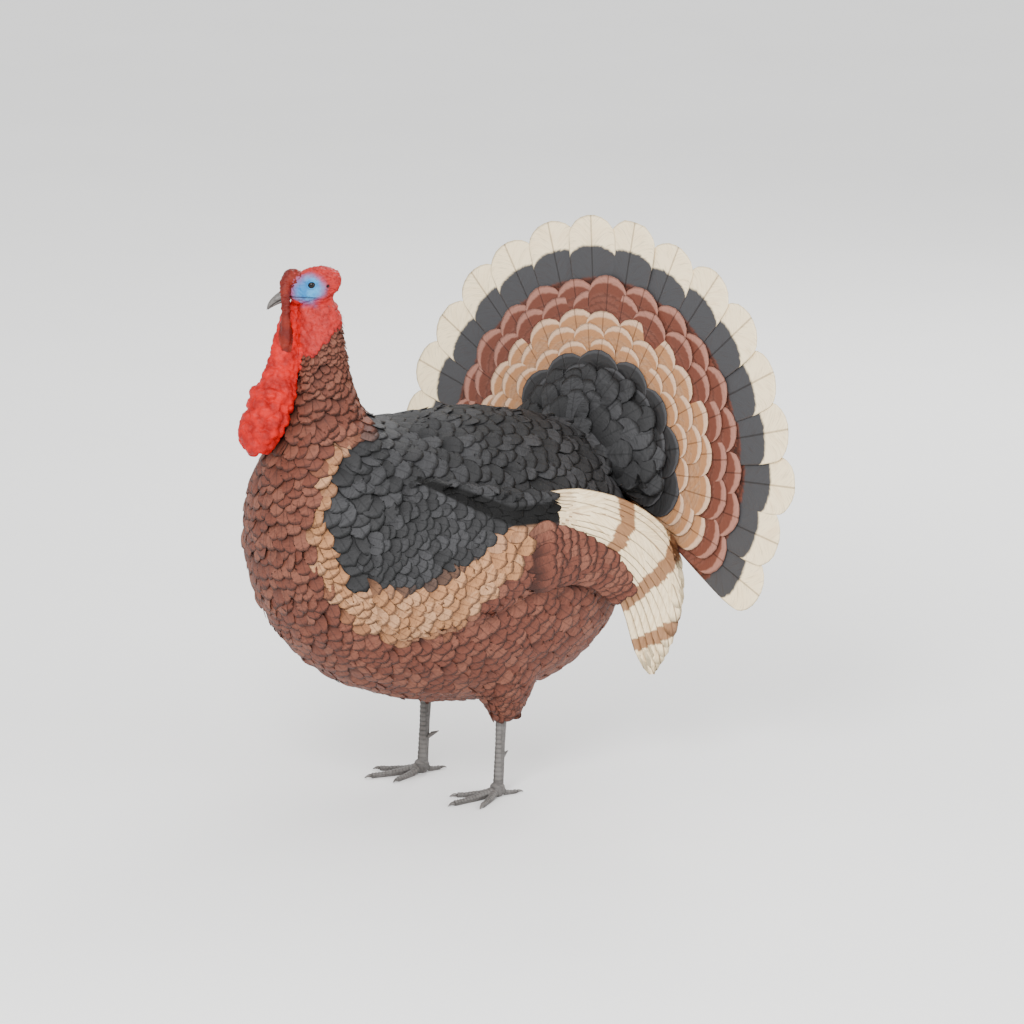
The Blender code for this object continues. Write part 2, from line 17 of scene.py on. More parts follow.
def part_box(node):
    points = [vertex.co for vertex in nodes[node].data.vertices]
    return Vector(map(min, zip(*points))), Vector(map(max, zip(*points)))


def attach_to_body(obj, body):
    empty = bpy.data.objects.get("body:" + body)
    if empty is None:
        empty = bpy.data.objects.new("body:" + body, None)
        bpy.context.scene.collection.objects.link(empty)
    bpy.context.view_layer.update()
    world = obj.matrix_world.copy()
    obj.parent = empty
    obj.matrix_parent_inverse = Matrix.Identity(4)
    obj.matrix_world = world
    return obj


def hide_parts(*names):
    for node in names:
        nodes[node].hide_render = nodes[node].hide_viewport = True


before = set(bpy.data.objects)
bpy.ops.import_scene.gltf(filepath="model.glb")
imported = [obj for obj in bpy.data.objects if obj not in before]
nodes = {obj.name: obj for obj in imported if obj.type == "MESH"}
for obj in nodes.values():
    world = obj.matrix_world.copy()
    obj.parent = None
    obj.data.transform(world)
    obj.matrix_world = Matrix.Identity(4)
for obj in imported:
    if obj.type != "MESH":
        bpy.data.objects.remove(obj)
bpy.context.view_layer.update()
rng = np.random.default_rng(18)

# %% [markdown]
# ## Small tools
# Positions on the bird are compared with soft limits, because markings on an animal never end
# in a hard line. A copy of some solids is made by putting them in one mesh and welding the
# points that lie on each other, since the stored solids keep every facet apart.

# %% Soft limits and copies of the solids
UP = Vector((0, 0, 1))
WELD = 2e-5


def soft(value, start, end):
    """0 before start, 1 after end, and a smooth slope between them."""
    t = np.clip((np.asarray(value, float) - start) / (end - start), 0, 1)
    return t * t * (3 - 2 * t)


def ridge(value, middle, width):
    """1 where a value is at its middle, and less on both sides."""
    return np.exp(-(((value - middle) / width) ** 2))


def unit(a):
    return a / np.maximum(np.linalg.norm(a, axis=-1, keepdims=True), 1e-9)


def centre(node):
    low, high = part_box(node)
    return (low + high) / 2


def copied(*names):
    """Copies of solids in one bmesh, welded and facing outwards."""
    bm = bmesh.new()
    for name in names:
        bm.from_mesh(nodes[name].data)
    bmesh.ops.remove_doubles(bm, verts=bm.verts, dist=WELD)
    bmesh.ops.recalc_face_normals(bm, faces=bm.faces)
    return bm


def as_object(bm, name):
    mesh = bpy.data.meshes.new(name)
    bm.to_mesh(mesh)
    bm.free()
    made = bpy.data.objects.new(name, mesh)
    bpy.context.scene.collection.objects.link(made)
    return made


def points(thing):
    co = np.empty(len(thing.data.vertices) * 3)
    thing.data.vertices.foreach_get("co", co)
    return co.reshape(-1, 3)


def normals(thing):
    co = np.empty(len(thing.data.vertices) * 3)
    thing.data.vertices.foreach_get("normal", co)
    return co.reshape(-1, 3)


def set_points(thing, co):
    thing.data.vertices.foreach_set("co", np.asarray(co, float).ravel())
    thing.data.update()


def with_modifier(thing, kind, **settings):
    """Gives an object the mesh that one modifier makes of it."""
    modifier = thing.modifiers.new(kind.lower(), kind)
    for key, value in settings.items():
        setattr(modifier, key, value)
    graph = bpy.context.evaluated_depsgraph_get()
    mesh = bpy.data.meshes.new_from_object(thing.evaluated_get(graph))
    thing.modifiers.clear()
    old = thing.data
    thing.data = mesh
    bpy.data.meshes.remove(old)


def relaxed(thing, rounds, factor=0.5, only=None):
    """Smooths a mesh; only is a mask of the points that may move."""
    bm = bmesh.new()
    bm.from_mesh(thing.data)
    bm.verts.ensure_lookup_table()
    moving = bm.verts[:] if only is None else [bm.verts[i] for i in np.flatnonzero(only)]
    axes = {"use_axis_x": True, "use_axis_y": True, "use_axis_z": True}
    for _ in range(rounds):
        bmesh.ops.smooth_vert(bm, verts=moving, factor=factor, **axes)
    bm.to_mesh(thing.data)
    bm.free()


# %% [markdown]
# ## Where things are on the bird
# The bird looks along -Y with its left side at +X. The head is turned to the bird's right and
# bowed a little, so points near it are first turned into the head's own directions. Between the
# feathered and the bare parts the neck has a border that climbs from the throat to the nape.

# %% Head directions and the border of the bare skin
HEAD_TURN = Euler((math.radians(12), 0, math.radians(-18))).to_matrix()
HEAD_SCALE = 1.08
EYES_IN_HEAD = Vector((0, -0.0050, 0.0055))
eye_places = {side: centre(f"eye_{side}") for side in ("left", "right")}
eye_middle = (eye_places["left"] + eye_places["right"]) / 2
head_origin = eye_middle - HEAD_TURN @ EYES_IN_HEAD * HEAD_SCALE

# Heights and lengths in the rules below are those of a bird whose head is at this place, and
# shift is the way from that bird to this one.
PLANNED_HEAD = Vector((-0.0040, -0.2550, 0.8440))
shift = np.array(head_origin - PLANNED_HEAD)


def in_head(p):
    """Points in the head's own directions: left, back, up."""
    return (np.asarray(p) - np.array(head_origin)) @ np.array(HEAD_TURN) / HEAD_SCALE


TAIL_TURN = Euler((math.radians(-8), 0, math.radians(20))).to_matrix()
TAIL_ROOT = np.array((0.0, 0.2620, 0.5000)) + shift


def in_tail(p):
    """Points in the tail's own directions, from its root: left, back, up."""
    return (np.asarray(p) - TAIL_ROOT) @ np.array(TAIL_TURN)


NECK_AXIS = -0.250
NECK_LEAN = 0.16
NECK_RADIUS = 0.045
BORDER_AT_NAPE = 0.778
BORDER_DROP, THROAT_DROP = 0.062, 0.085


def above_border(p):
    """Height over the wavy line where the feathers of the neck begin."""
    q = np.asarray(p) - shift
    middle = NECK_AXIS - (0.84 - q[:, 2]) * NECK_LEAN
    ahead = (middle - q[:, 1]) / NECK_RADIUS
    line = BORDER_AT_NAPE - BORDER_DROP * soft(ahead, -0.9, 0.9) - THROAT_DROP * soft(ahead, 0.5, 2.6)
    return q[:, 2] - line - 0.004 * np.sin(q[:, 0] * 190) - 0.003 * np.sin(q[:, 1] * 260)


def bareness(p):
    """1 on the bare head, neck and wattle, 0 under the feathers."""
    neck = soft(above_border(p), -0.010, 0.012)
    wattle = soft(wattle_closeness(p), 0.0090, 0.0060)
    return np.maximum(neck, wattle)


wattle_tree = BVHTree.FromBMesh(copied("wattle"))
snood_tree = BVHTree.FromBMesh(copied("snood"))
FAR_OFF = 0.06


def distance_to(tree, p, reach=FAR_OFF):
    """Distance of each point to a surface, at most reach."""
    far = np.full(len(p), reach)
    for i, point in enumerate(p):
        found = tree.find_nearest(Vector(point), reach)
        if found[0] is not None:
            far[i] = found[3]
    return far


def wattle_closeness(p):
    """Distance to the wattle, measured only on the front of the neck and the head."""
    p = np.asarray(p)
    far = np.full(len(p), FAR_OFF)
    near = (p[:, 1] - shift[1] < -0.20) & (p[:, 2] > 0.55)
    far[near] = distance_to(wattle_tree, p[near])
    return far


print("head origin", [round(v, 4) for v in head_origin], "shift", [round(v, 5) for v in shift])

# %% [markdown]
# ## The skin
# One skin covers the whole animal. The body's part is a coarse shell that lies under the coat
# by the coat's depth, and the head, snood and wattle are a fine shell, because there the skin is
# what is seen. Both are made by wrapping the solids in a fresh even mesh and are then joined
# into a single closed skin under the neck feathers.

# %% Body shell
BODY_MESH = 0.0082
FLESH = ["trunk", "neck", "thigh_left", "thigh_right", "rump", "undertail"]
COAT_DEPTH = 0.017
THINNER_ON_NECK, THINNER_ON_TAIL = 0.006, 0.009
WING_COAT = 0.005


def wrapped(name, names, size, swell):
    """One closed, even mesh round some solids."""
    thing = as_object(copied(*names), name)
    set_points(thing, points(thing) + normals(thing) * swell)
    with_modifier(thing, "REMESH", mode="VOXEL", voxel_size=size, adaptivity=0.0)
    relaxed(thing, 3)
    return thing


def coat_depth(p):
    """How far the skin lies under the feather tips."""
    q = np.asarray(p) - shift
    neck = soft(q[:, 2], 0.66, 0.76) * soft(q[:, 1], -0.12, -0.18)
    tail = soft(q[:, 1], 0.20, 0.26)
    return COAT_DEPTH - THINNER_ON_NECK * neck - THINNER_ON_TAIL * tail


core = wrapped("core", FLESH, BODY_MESH, 0.0006)
set_points(core, points(core) - normals(core) * coat_depth(points(core))[:, None])
relaxed(core, 4)
shells = [core]
for side in ("left", "right"):
    arm = as_object(copied(f"wing_{side}"), f"arm_{side}")
    set_points(arm, points(arm) - normals(arm) * WING_COAT)
    shells.append(arm)
bm = bmesh.new()
for shell in shells:
    bm.from_mesh(shell.data)
    bpy.data.objects.remove(shell)
skin = as_object(bm, "skin")
with_modifier(skin, "REMESH", mode="VOXEL", voxel_size=BODY_MESH, adaptivity=0.0)
relaxed(skin, 3)
print("body shell", len(skin.data.polygons))

# %% [markdown]
# ## Head shell
# On the real bird one skin runs from the head over the neck into the body. Head, wattle, snood
# and eyes could be kept as separate skins, but seams would show where they meet. So their solids
# are rounded by subdivision, swollen a little and wrapped together in one much finer mesh.

# %% Head shell
HEAD_MESH = 0.0018
HEAD_SWELL = 0.0007
NECK_END = 0.705
ROUNDING = {"head": 2, "wattle": 1, "snood": 2, "neck": 1, "eye_left": 1, "eye_right": 1}


def upper_neck():
    """The neck down to where the body's shell takes over."""
    bm = copied("neck")
    everything = bm.verts[:] + bm.edges[:] + bm.faces[:]
    cut = {"dist": 1e-6, "plane_co": (0, 0, NECK_END), "plane_no": UP, "clear_inner": True}
    bmesh.ops.bisect_plane(bm, geom=everything, **cut)
    bmesh.ops.holes_fill(bm, edges=[e for e in bm.edges if e.is_boundary], sides=0)
    return bm


bm = bmesh.new()
for name, levels in ROUNDING.items():
    piece = as_object(upper_neck() if name == "neck" else copied(name), name)
    with_modifier(piece, "SUBSURF", levels=levels, render_levels=levels)
    set_points(piece, points(piece) + normals(piece) * HEAD_SWELL)
    bm.from_mesh(piece.data)
    bpy.data.objects.remove(piece)
face = as_object(bm, "face")
with_modifier(face, "REMESH", mode="VOXEL", voxel_size=HEAD_MESH, adaptivity=0.0)
relaxed(face, 4)
print("head shell", len(face.data.polygons))

# %% [markdown]
# ## Lumps, folds and lids
# A turkey's head is bare and covered with small warts, and the wattle's lower end carries big
# round lumps. Lump centres are scattered with a least distance between them, so that they crowd
# like the real ones without piling up, and every point of the skin near one is lifted on a dome.

# %% Scattered places
def spaced(places, gaps, order):
    """Picks places in a given order, none nearer to an earlier one than its gap."""
    cell = float(gaps.min())
    grid = {}
    kept = []
    for i in order:
        gap = gaps[i]
        x, y, z = np.floor(places[i] / cell).astype(int).tolist()
        reach = math.ceil(gap / cell)
        steps = range(-reach, reach + 1)
        boxes = ((x + a, y + b, z + c) for a in steps for b in steps for c in steps)
        near = (j for box in boxes for j in grid.get(box, ()))
        if not any(((places[i] - places[j]) ** 2).sum() < gap * gap for j in near):
            grid.setdefault((x, y, z), []).append(i)
            kept.append(i)
    return np.array(kept, int)


def domes(p, centres, radii, heights):
    """Height of overlapping round lumps at each point."""
    tree = KDTree(len(centres))
    for i, c in enumerate(centres):
        tree.insert(Vector(c), i)
    tree.balance()
    lift = np.zeros(len(p))
    widest = float(radii.max())
    for k, point in enumerate(p):
        for _, i, far in tree.find_range(Vector(point), widest):
            share = far / radii[i]
            if share < 1:
                lift[k] = max(lift[k], heights[i] * (1 - share * share) ** 0.6)
    return lift


# %% [markdown]
# ## Where the fine shell ends
# The bare skin of the neck goes on under the first feathers. Cutting the fine shell off at the
# border would leave an edge, so below the border it is pushed inwards instead, until it lies
# inside the body's shell. Round the eyes its faces are split again, because lids are small.

# %% The fine shell sinks under the neck feathers
SINK_NEAR, SINK_FAR = 0.0050, 0.016
p = points(face)
bare = bareness(p)
from_axis = (p - shift) * (1, 1, 0) - (0, NECK_AXIS, 0)
depth = (1 - bare) * (SINK_NEAR + SINK_FAR * soft(p[:, 2], 0.768, 0.715))
set_points(face, p - normals(face) * HEAD_SWELL - unit(from_axis) * depth[:, None])
relaxed(face, 3, only=bare < 0.98)


def finer(thing, chosen):
    """Splits the faces whose middles are chosen."""
    bm = bmesh.new()
    bm.from_mesh(thing.data)
    middles = np.array([f.calc_center_median() for f in bm.faces])
    edges = {e for f, hit in zip(bm.faces, chosen(middles)) if hit for e in f.edges}
    in_order = sorted(edges, key=lambda e: e.index)
    bmesh.ops.subdivide_edges(bm, edges=in_order, cuts=1, use_grid_fill=True)
    bm.to_mesh(thing.data)
    bm.free()


def around_eye(p, side):
    """Polar place of points about an eyeball: distance, angle from the middle of the opening,
    and direction. The angle grows faster up and down than along, which makes an almond."""
    sign = 1 if side == "left" else -1
    out = np.array(HEAD_TURN @ Vector((sign, -0.16, 0.06)).normalized())
    ahead = np.array(HEAD_TURN @ Vector((0, -1, 0)))
    ahead = unit(ahead - out * (ahead @ out))
    up = np.cross(ahead, out) * sign
    up = up if up[2] > 0 else -up
    d = np.asarray(p) - np.array(eye_places[side])
    r = np.linalg.norm(d, axis=1)
    w = d / np.maximum(r, 1e-9)[:, None]
    front = w @ out
    a, b = w @ ahead, w @ up
    off = np.arccos(np.clip(front, -1, 1))
    wide = np.arctan2(b, a)
    almond = np.sqrt((np.cos(wide) / 1.13) ** 2 + (np.sin(wide) / 0.90) ** 2)
    return r, off * almond, w


def eye_closeness(p):
    return np.minimum(*[np.linalg.norm(p - np.array(e), axis=1) for e in eye_places.values()])


finer(face, lambda m: in_head(m)[:, 2] > -0.022)
finer(face, lambda m: eye_closeness(m) < 0.0135)
finer(face, lambda m: eye_closeness(m) < 0.0100)
print("head shell", len(face.data.polygons))

# %% [markdown]
# ## Lids, ears and folds
# The lids are rims of skin round an almond opening in front of the eyeball. They could be
# modelled as rings, but here the skin near each eye is moved in or out by its angle from the
# middle of the opening, which keeps it one closed surface. Ear, mouth corner and wrinkles are
# heights that are added in the same way.

# %% Lids, ears and folds
EYE_SIZE = 0.0062 * HEAD_SCALE
LID_OPEN = 0.93
LID_THICKNESS = 0.0010
# Each fold of the lids: its angle past the rim of the opening, its width and its height.
LID_FOLDS = ((0.10, 0.07, 0.0004), (0.30, 0.07, -0.0004), (0.44, 0.06, 0.0003))
EAR = np.array((0.0175, -0.0020))


def ear_closeness(h):
    return np.linalg.norm(h[:, 1:] - EAR, axis=1)


def gape_line(h):
    """Height over the line of the mouth's corner."""
    return h[:, 2] + 0.0080 + 0.25 * (h[:, 1] + 0.030)


p = points(face)
shape = normals(face)
for side in ("left", "right"):
    r, off, w = around_eye(p, side)
    ring = EYE_SIZE + LID_THICKNESS
    for past, width, height in LID_FOLDS:
        ring = ring + height * ridge(off - LID_OPEN, past, width)
    wanted = np.where(off < LID_OPEN, EYE_SIZE * (0.80 + 0.12 * soft(off, 0, LID_OPEN)), ring)
    settle = soft(off, LID_OPEN + 0.38, LID_OPEN + 0.85)
    close = (r < 0.016) & (off < LID_OPEN + 0.9)
    new = wanted * (1 - settle) + r * settle
    p = np.where(close[:, None], np.array(eye_places[side]) + w * new[:, None], p)
h = in_head(p)
ear = ear_closeness(h)
lift = 0.0012 * ridge(ear, 0.0042, 0.0014) - 0.0030 * ridge(ear, 0, 0.0024)
gape = np.abs(gape_line(h)) + 0.02 * (h[:, 1] > 0.004)
lift = lift - 0.0012 * ridge(gape, 0, 0.0012) * soft(h[:, 1], 0.006, -0.012)
creases = np.sin(h[:, 1] * 620 + np.sin(h[:, 2] * 210) * 1.9) * np.sin(h[:, 2] * 430 + h[:, 1] * 260)
folds = np.sin(h[:, 2] * 700 + np.sin(h[:, 1] * 190) * 1.4) * soft(h[:, 2], -0.008, -0.018)
lift = lift + 0.00030 * creases + 0.0007 * folds
on_head = (h[:, 2] > -0.030) & (eye_closeness(p) >= 0.0100)
set_points(face, p + shape * (lift * on_head)[:, None])
print("points on the head", int(on_head.sum()))

# %% [markdown]
# ## Warts and caruncles
# The bare skin carries warts that grow bigger from the crown down to the wattle's end, where
# they are round caruncles. Sculpting each one by hand would take days, so every kind is a scatter
# of domes with its own part of the skin, gap, radius and height.

# %% Warts and caruncles
FOREHEAD = np.array((0.0, -0.0270, 0.0150))
FOREHEAD_HEIGHT = 0.0040
SNOOD_RING = 0.0052


def brow_closeness(h):
    return np.linalg.norm((h - FOREHEAD) * (1, 1, 0.8), axis=1)


p = points(face)
shape = normals(face)
q = p - shift
in_wattle = distance_to(wattle_tree, p, 0.01) < 0.0035
in_snood = distance_to(snood_tree, p, 0.01) < 0.0030
bare = bareness(p)
h = in_head(p)


def lumps(mask, gap, radius, height, jitter=0.3):
    """Centres, radii and heights of lumps on part of the skin."""
    chosen = np.flatnonzero(mask)
    kept = spaced(p, np.full(len(p), gap), rng.permutation(chosen))
    size = 1 + jitter * rng.uniform(-1, 1, len(kept))
    return p[kept], radius * size, height * size


wattle_low = in_wattle & (q[:, 2] < 0.690)
wattle_high = in_wattle & (q[:, 2] > 0.680)
neck_skin = (bare > 0.6) & ~in_wattle & ~in_snood & (q[:, 2] < 0.812)
open_face = ~in_wattle & ~in_snood & (eye_closeness(p) >= 0.0118) & (h[:, 1] > -0.030)
crown = (h[:, 2] > 0.008) & open_face
cheek = (h[:, 2] > -0.030) & (h[:, 2] < 0.010) & open_face
brow = brow_closeness(h)
kinds = [
    lumps(wattle_low, gap=0.0145, radius=0.0105, height=0.0062),
    lumps(wattle_low, gap=0.0065, radius=0.0042, height=0.0016),
    lumps(wattle_high, gap=0.0076, radius=0.0056, height=0.0030),
    lumps(neck_skin, gap=0.0078, radius=0.0058, height=0.0034, jitter=0.4),
    lumps(neck_skin, gap=0.0038, radius=0.0026, height=0.0010),
    lumps(crown, gap=0.0044, radius=0.0033, height=0.0016, jitter=0.4),
    lumps(cheek, gap=0.0036, radius=0.0025, height=0.0009),
    lumps(in_snood, gap=0.0036, radius=0.0026, height=0.0009),
    lumps(brow < 0.014, gap=0.0048, radius=0.0036, height=0.0014),
]
lift = sum(domes(p, *kind) for kind in kinds)
lid_free = 1 - soft(eye_closeness(p), 0.0135, 0.0100)
lift = lift + FOREHEAD_HEIGHT * soft(brow, 0.0150, 0.0070) * lid_free
on_snood = soft(distance_to(snood_tree, p, 0.01), 0.004, 0.001)
lift = lift + 0.00035 * (np.sin(q[:, 2] * 2 * math.pi / SNOOD_RING) * on_snood)
set_points(face, p + shape * lift[:, None])
relaxed(face, 1, 0.35, only=eye_closeness(p) >= 0.0110)
print("lumps", [len(kind[0]) for kind in kinds])

# %% [markdown]
# ## One closed skin
# The fine shell of the head and the coarse shell of the body overlap inside the neck. A boolean
# union joins them exactly there, under the feathers, and keeps small faces only where bare skin
# is seen.

# %% One closed skin
tool = skin.modifiers.new("join", "BOOLEAN")
tool.operation = "UNION"
tool.solver = "MANIFOLD"
tool.object = face
graph = bpy.context.evaluated_depsgraph_get()
joined = bpy.data.meshes.new_from_object(skin.evaluated_get(graph))
skin.modifiers.clear()
skin.data = joined
bpy.data.objects.remove(face)
skin.data.shade_smooth()
print("skin", len(skin.data.polygons), "faces")

# %% [markdown]
# ## Painting with nodes
# A material here is a small calculation: attributes and noise go in, a colour, a roughness and
# a bump come out. The class below lets such a calculation be written with ordinary signs.

# %% Maths with node sockets
class Wire:
    """One output of a node, with the usual signs for maths."""

    def __init__(self, paint, socket):
        self.paint, self.socket = paint, socket

    def maths(self, operation, *values):
        return self.paint.node("ShaderNodeMath", {"operation": operation}, *values)

    def __add__(self, other):
        return self.maths("ADD", self, other)

    def __radd__(self, other):
        return self.maths("ADD", other, self)

    def __sub__(self, other):
        return self.maths("SUBTRACT", self, other)

    def __rsub__(self, other):
        return self.maths("SUBTRACT", other, self)

    def __mul__(self, other):
        return self.maths("MULTIPLY", self, other)

    def __rmul__(self, other):
        return self.maths("MULTIPLY", other, self)


def hue(code):
    """A linear colour from its usual six-letter code."""
    parts = [int(code[i : i + 2], 16) / 255 for i in (0, 2, 4)]
    return (*[v / 12.92 if v <= 0.04045 else ((v + 0.055) / 1.055) ** 2.4 for v in parts], 1)


class Paint:
    """One material under construction."""

    def __init__(self, name, **gloss):
        self.material = bpy.data.materials.new(name)
        self.material.use_nodes = True
        self.tree = self.material.node_tree
        self.tree.nodes.clear()
        output = self.tree.nodes.new("ShaderNodeOutputMaterial")
        self.shader = self.tree.nodes.new("ShaderNodeBsdfPrincipled")
        self.tree.links.new(self.shader.outputs[0], output.inputs["Surface"])
        for socket, value in gloss.items():
            self.shader.inputs[socket.replace("_", " ")].default_value = value

    def node(self, kind, settings=(), *values, out=0, by_place=(), **named):
        """A node with its settings, then its values or wires by order, by number or by name."""
        made = self.tree.nodes.new(kind)
        for key, value in dict(settings).items():
            setattr(made, key, value)
        slots = [*enumerate(values), *dict(by_place).items()]
        slots += [(k.replace("_", " "), v) for k, v in named.items()]
        for slot, value in slots:
            if isinstance(value, Wire):
                self.tree.links.new(value.socket, made.inputs[slot])
            else:
                made.inputs[slot].default_value = value
        return Wire(self, made.outputs[out])

    def attribute(self, name):
        return self.node("ShaderNodeAttribute", {"attribute_name": name}, out="Fac")

    def vane(self):
        """Across the vane from 0 to 1, and along it from root to tip."""
        u, v, _ = self.apart(self.node("ShaderNodeUVMap", {"uv_map": "Vane"}))
        return u, v

    def where(self):
        return self.node("ShaderNodeTexCoord", out="Object")

    def vector(self, operation, a, b):
        return self.node("ShaderNodeVectorMath", {"operation": operation}, a, b)

    def apart(self, vector):
        return [self.node("ShaderNodeSeparateXYZ", {}, vector, out=axis) for axis in "XYZ"]

    def together(self, x, y, z):
        return self.node("ShaderNodeCombineXYZ", {}, x, y, z)

    def noise(self, scale, vector=None, detail=2.0, roughness=0.5):
        values = {"Scale": scale, "Detail": detail, "Roughness": roughness}
        return self.node("ShaderNodeTexNoise", {}, Vector=vector or self.where(), out="Fac", **values)

    def cells(self, scale):
        return self.node("ShaderNodeTexVoronoi", {}, Vector=self.where(), Scale=scale)

    def ramp(self, value, start, end):
        """A soft step from 0 to 1."""
        settings = {"interpolation_type": "SMOOTHSTEP"}
        return self.node("ShaderNodeMapRange", settings, value, start, end, 0.0, 1.0)

    def mix(self, share, a, b, blend="MIX"):
        settings = {"data_type": "RGBA", "blend_type": blend}
        return self.node("ShaderNodeMix", settings, out=2, by_place={0: share, 6: a, 7: b})

    def done(self, colour, roughness=None, bumps=()):
        """Joins colour, roughness and (height, strength, distance) bumps to the shader."""
        relief = {}
        for height, strength, distance in bumps:
            values = {"Height": height, "Strength": strength, "Distance": distance}
            relief = {"Normal": self.node("ShaderNodeBump", {}, **values, **relief)}
        for socket, wire in {"Base Color": colour, "Roughness": roughness, **relief}.items():
            if wire is not None:
                self.tree.links.new(wire.socket, self.shader.inputs[socket])
        return self.material


def wear(thing, material, slot, *replaced):
    """Gives a piece its material and its place on the solid model; slot is not used."""
    thing.data.materials.clear()
    thing.data.materials.append(material)
    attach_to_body(thing, "root")
    if replaced:
        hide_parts(*replaced)
    thing.data.calc_loop_triangles()
    print(thing.name, len(thing.data.loop_triangles), "triangles")


def attach(thing, name, values):
    """A number for each point of a mesh."""
    made = thing.data.attributes.new(name, "FLOAT", "POINT")
    made.data.foreach_set("value", np.asarray(values, np.float32))


# %% [markdown]
# ## Markings
# Skin and feathers take their colours from the same rules, which depend only on the place on the
# bird: blue round the eye, rose on the head, red on the wattle, slate on the back and brown on
# the breast. The feathers carry the rules' answers as numbers on their points.

# %% Colours and markings
BLUE = hue("1F6FA8")
ROSE = hue("A41A18")
RED = hue("B60603")
DARK_RED = hue("5A1008")
BROWN = hue("65382B")
BROWN_DARK = hue("351A13")
BROWN_LIGHT = hue("7C4E3E")
SLATE = hue("2A2A2B")
SLATE_DARK = hue("151516")
SLATE_LIGHT = hue("3E3E40")
TAN = hue("A4744E")
TAN_DARK = hue("6F4A30")
CREAM = hue("FFEAC0")
CREAM_DARK = hue("E2C698")
BLUE_MIDDLE = np.array((-0.0125, -0.0005))

# The slate lobe on the bird's side and the tan band round it, as heights over the length.
SLATE_LOW = ((-0.309, 0.530), (-0.303, 0.450), (-0.275, 0.409), (-0.231, 0.394), (-0.175, 0.404),
             (-0.113, 0.447), (-0.034, 0.482), (0.060, 0.480), (0.160, 0.455), (0.260, 0.400))
SLATE_TOP = ((-0.309, 0.520), (-0.278, 0.587), (-0.247, 0.614), (-0.195, 0.632), (-0.165, 0.680))
TAN_LOW = ((-0.326, 0.480), (-0.322, 0.430), (-0.296, 0.368), (-0.244, 0.322), (-0.193, 0.307),
           (-0.130, 0.325), (-0.076, 0.378), (-0.029, 0.430), (0.014, 0.480))
TAN_TOP = ((-0.326, 0.490), (-0.300, 0.573), (-0.270, 0.603), (-0.240, 0.620))
BLUR = 0.007


def border(y, anchors):
    ys, zs = np.array(anchors).T
    return np.interp(y, ys, zs)


def inside(q, lowest, highest):
    """1 between two borders; behind the shoulder there is no upper one."""
    y, z = q[:, 1], q[:, 2]
    low, high = border(y, lowest), border(y, highest)
    begin = soft(y, lowest[0][0] - BLUR, lowest[0][0] + BLUR)
    over = soft(z, high - BLUR, high + BLUR) * (y < -0.165)
    return begin * soft(z, low - BLUR, low + BLUR) * (1 - over)


def back_share(p):
    """1 on the slate back and shoulders, 0 on the brown breast, flanks, belly and under the tail."""
    before_tail = 1 - soft(in_tail(p)[:, 1], -0.012, 0.004)
    return inside(np.asarray(p) - shift, SLATE_LOW, SLATE_TOP) * before_tail


def tan_share(p):
    """1 on the tan band under the slate."""
    q = np.asarray(p) - shift
    band = inside(q, TAN_LOW, TAN_TOP)
    return band * (1 - soft(q[:, 1], -0.005, 0.020)) * (1 - back_share(p))


def off_blue(h, stretch=1.0):
    """Distance from the middle of the blue face, which lies before the eye."""
    d = h[:, 1:] - BLUE_MIDDLE
    return np.hypot(d[:, 0] / stretch, d[:, 1])


# %% [markdown]
# ## Skin paint
# Bare skin is never one colour: blood makes it patchy. The raised tops of its warts are painted
# paler as a highlight, and the ear hole and the mouth's corner get near-black painted shade. The
# rules' answers are stored on the skin's points, and the paint mixes its colours by them, with
# noise that breaks up every border.

# %% Skin paint
p = points(skin)
h = in_head(p)
from_wattle = distance_to(wattle_tree, p, 0.02)
from_snood = distance_to(snood_tree, p, 0.02)
blue = (1 - soft(off_blue(h, 1.15), 0.004, 0.034)) * soft(np.abs(h[:, 0]), 0.004, 0.010)
on_brow = soft(brow_closeness(h), 0.0155, 0.0130)
gape = soft(np.abs(gape_line(h)), 0.0014, 0.0004) * soft(h[:, 1], 0.004, -0.004) * (h[:, 1] > -0.040)
# Painted shade: the ear hole and the mouth's corner are marked here to be darkened as their shadow.
hollow_shade = np.maximum(soft(ear_closeness(h), 0.0034, 0.0018), 0.8 * gape) * (h[:, 2] > -0.030)
attach(skin, "blue", np.maximum(blue, 1 - soft(eye_closeness(p), 0.0085, 0.0130)))
attach(skin, "red", soft(from_wattle, 0.0125, 0.0065))
attach(skin, "snood", np.maximum(soft(from_snood, 0.0045, 0.0010), on_brow))
attach(skin, "hollow_shade", hollow_shade)
attach(skin, "bare", np.maximum(bareness(p), soft(from_wattle, 0.0165, 0.0130)))
attach(skin, "back", back_share(p))
attach(skin, "tan", tan_share(p))

soft_glow = {"Subsurface_Weight": 0.06, "Subsurface_Radius": (0.004, 0.0014, 0.0008)}
paint = Paint("bird skin", Specular_IOR_Level=0.25, **soft_glow)
patches = paint.noise(55.0, detail=4.0)
warts = paint.cells(420.0)
fine = paint.noise(900.0, detail=3.0)
rose = paint.mix(paint.ramp(patches, 0.40, 0.68), ROSE, hue("841414"))
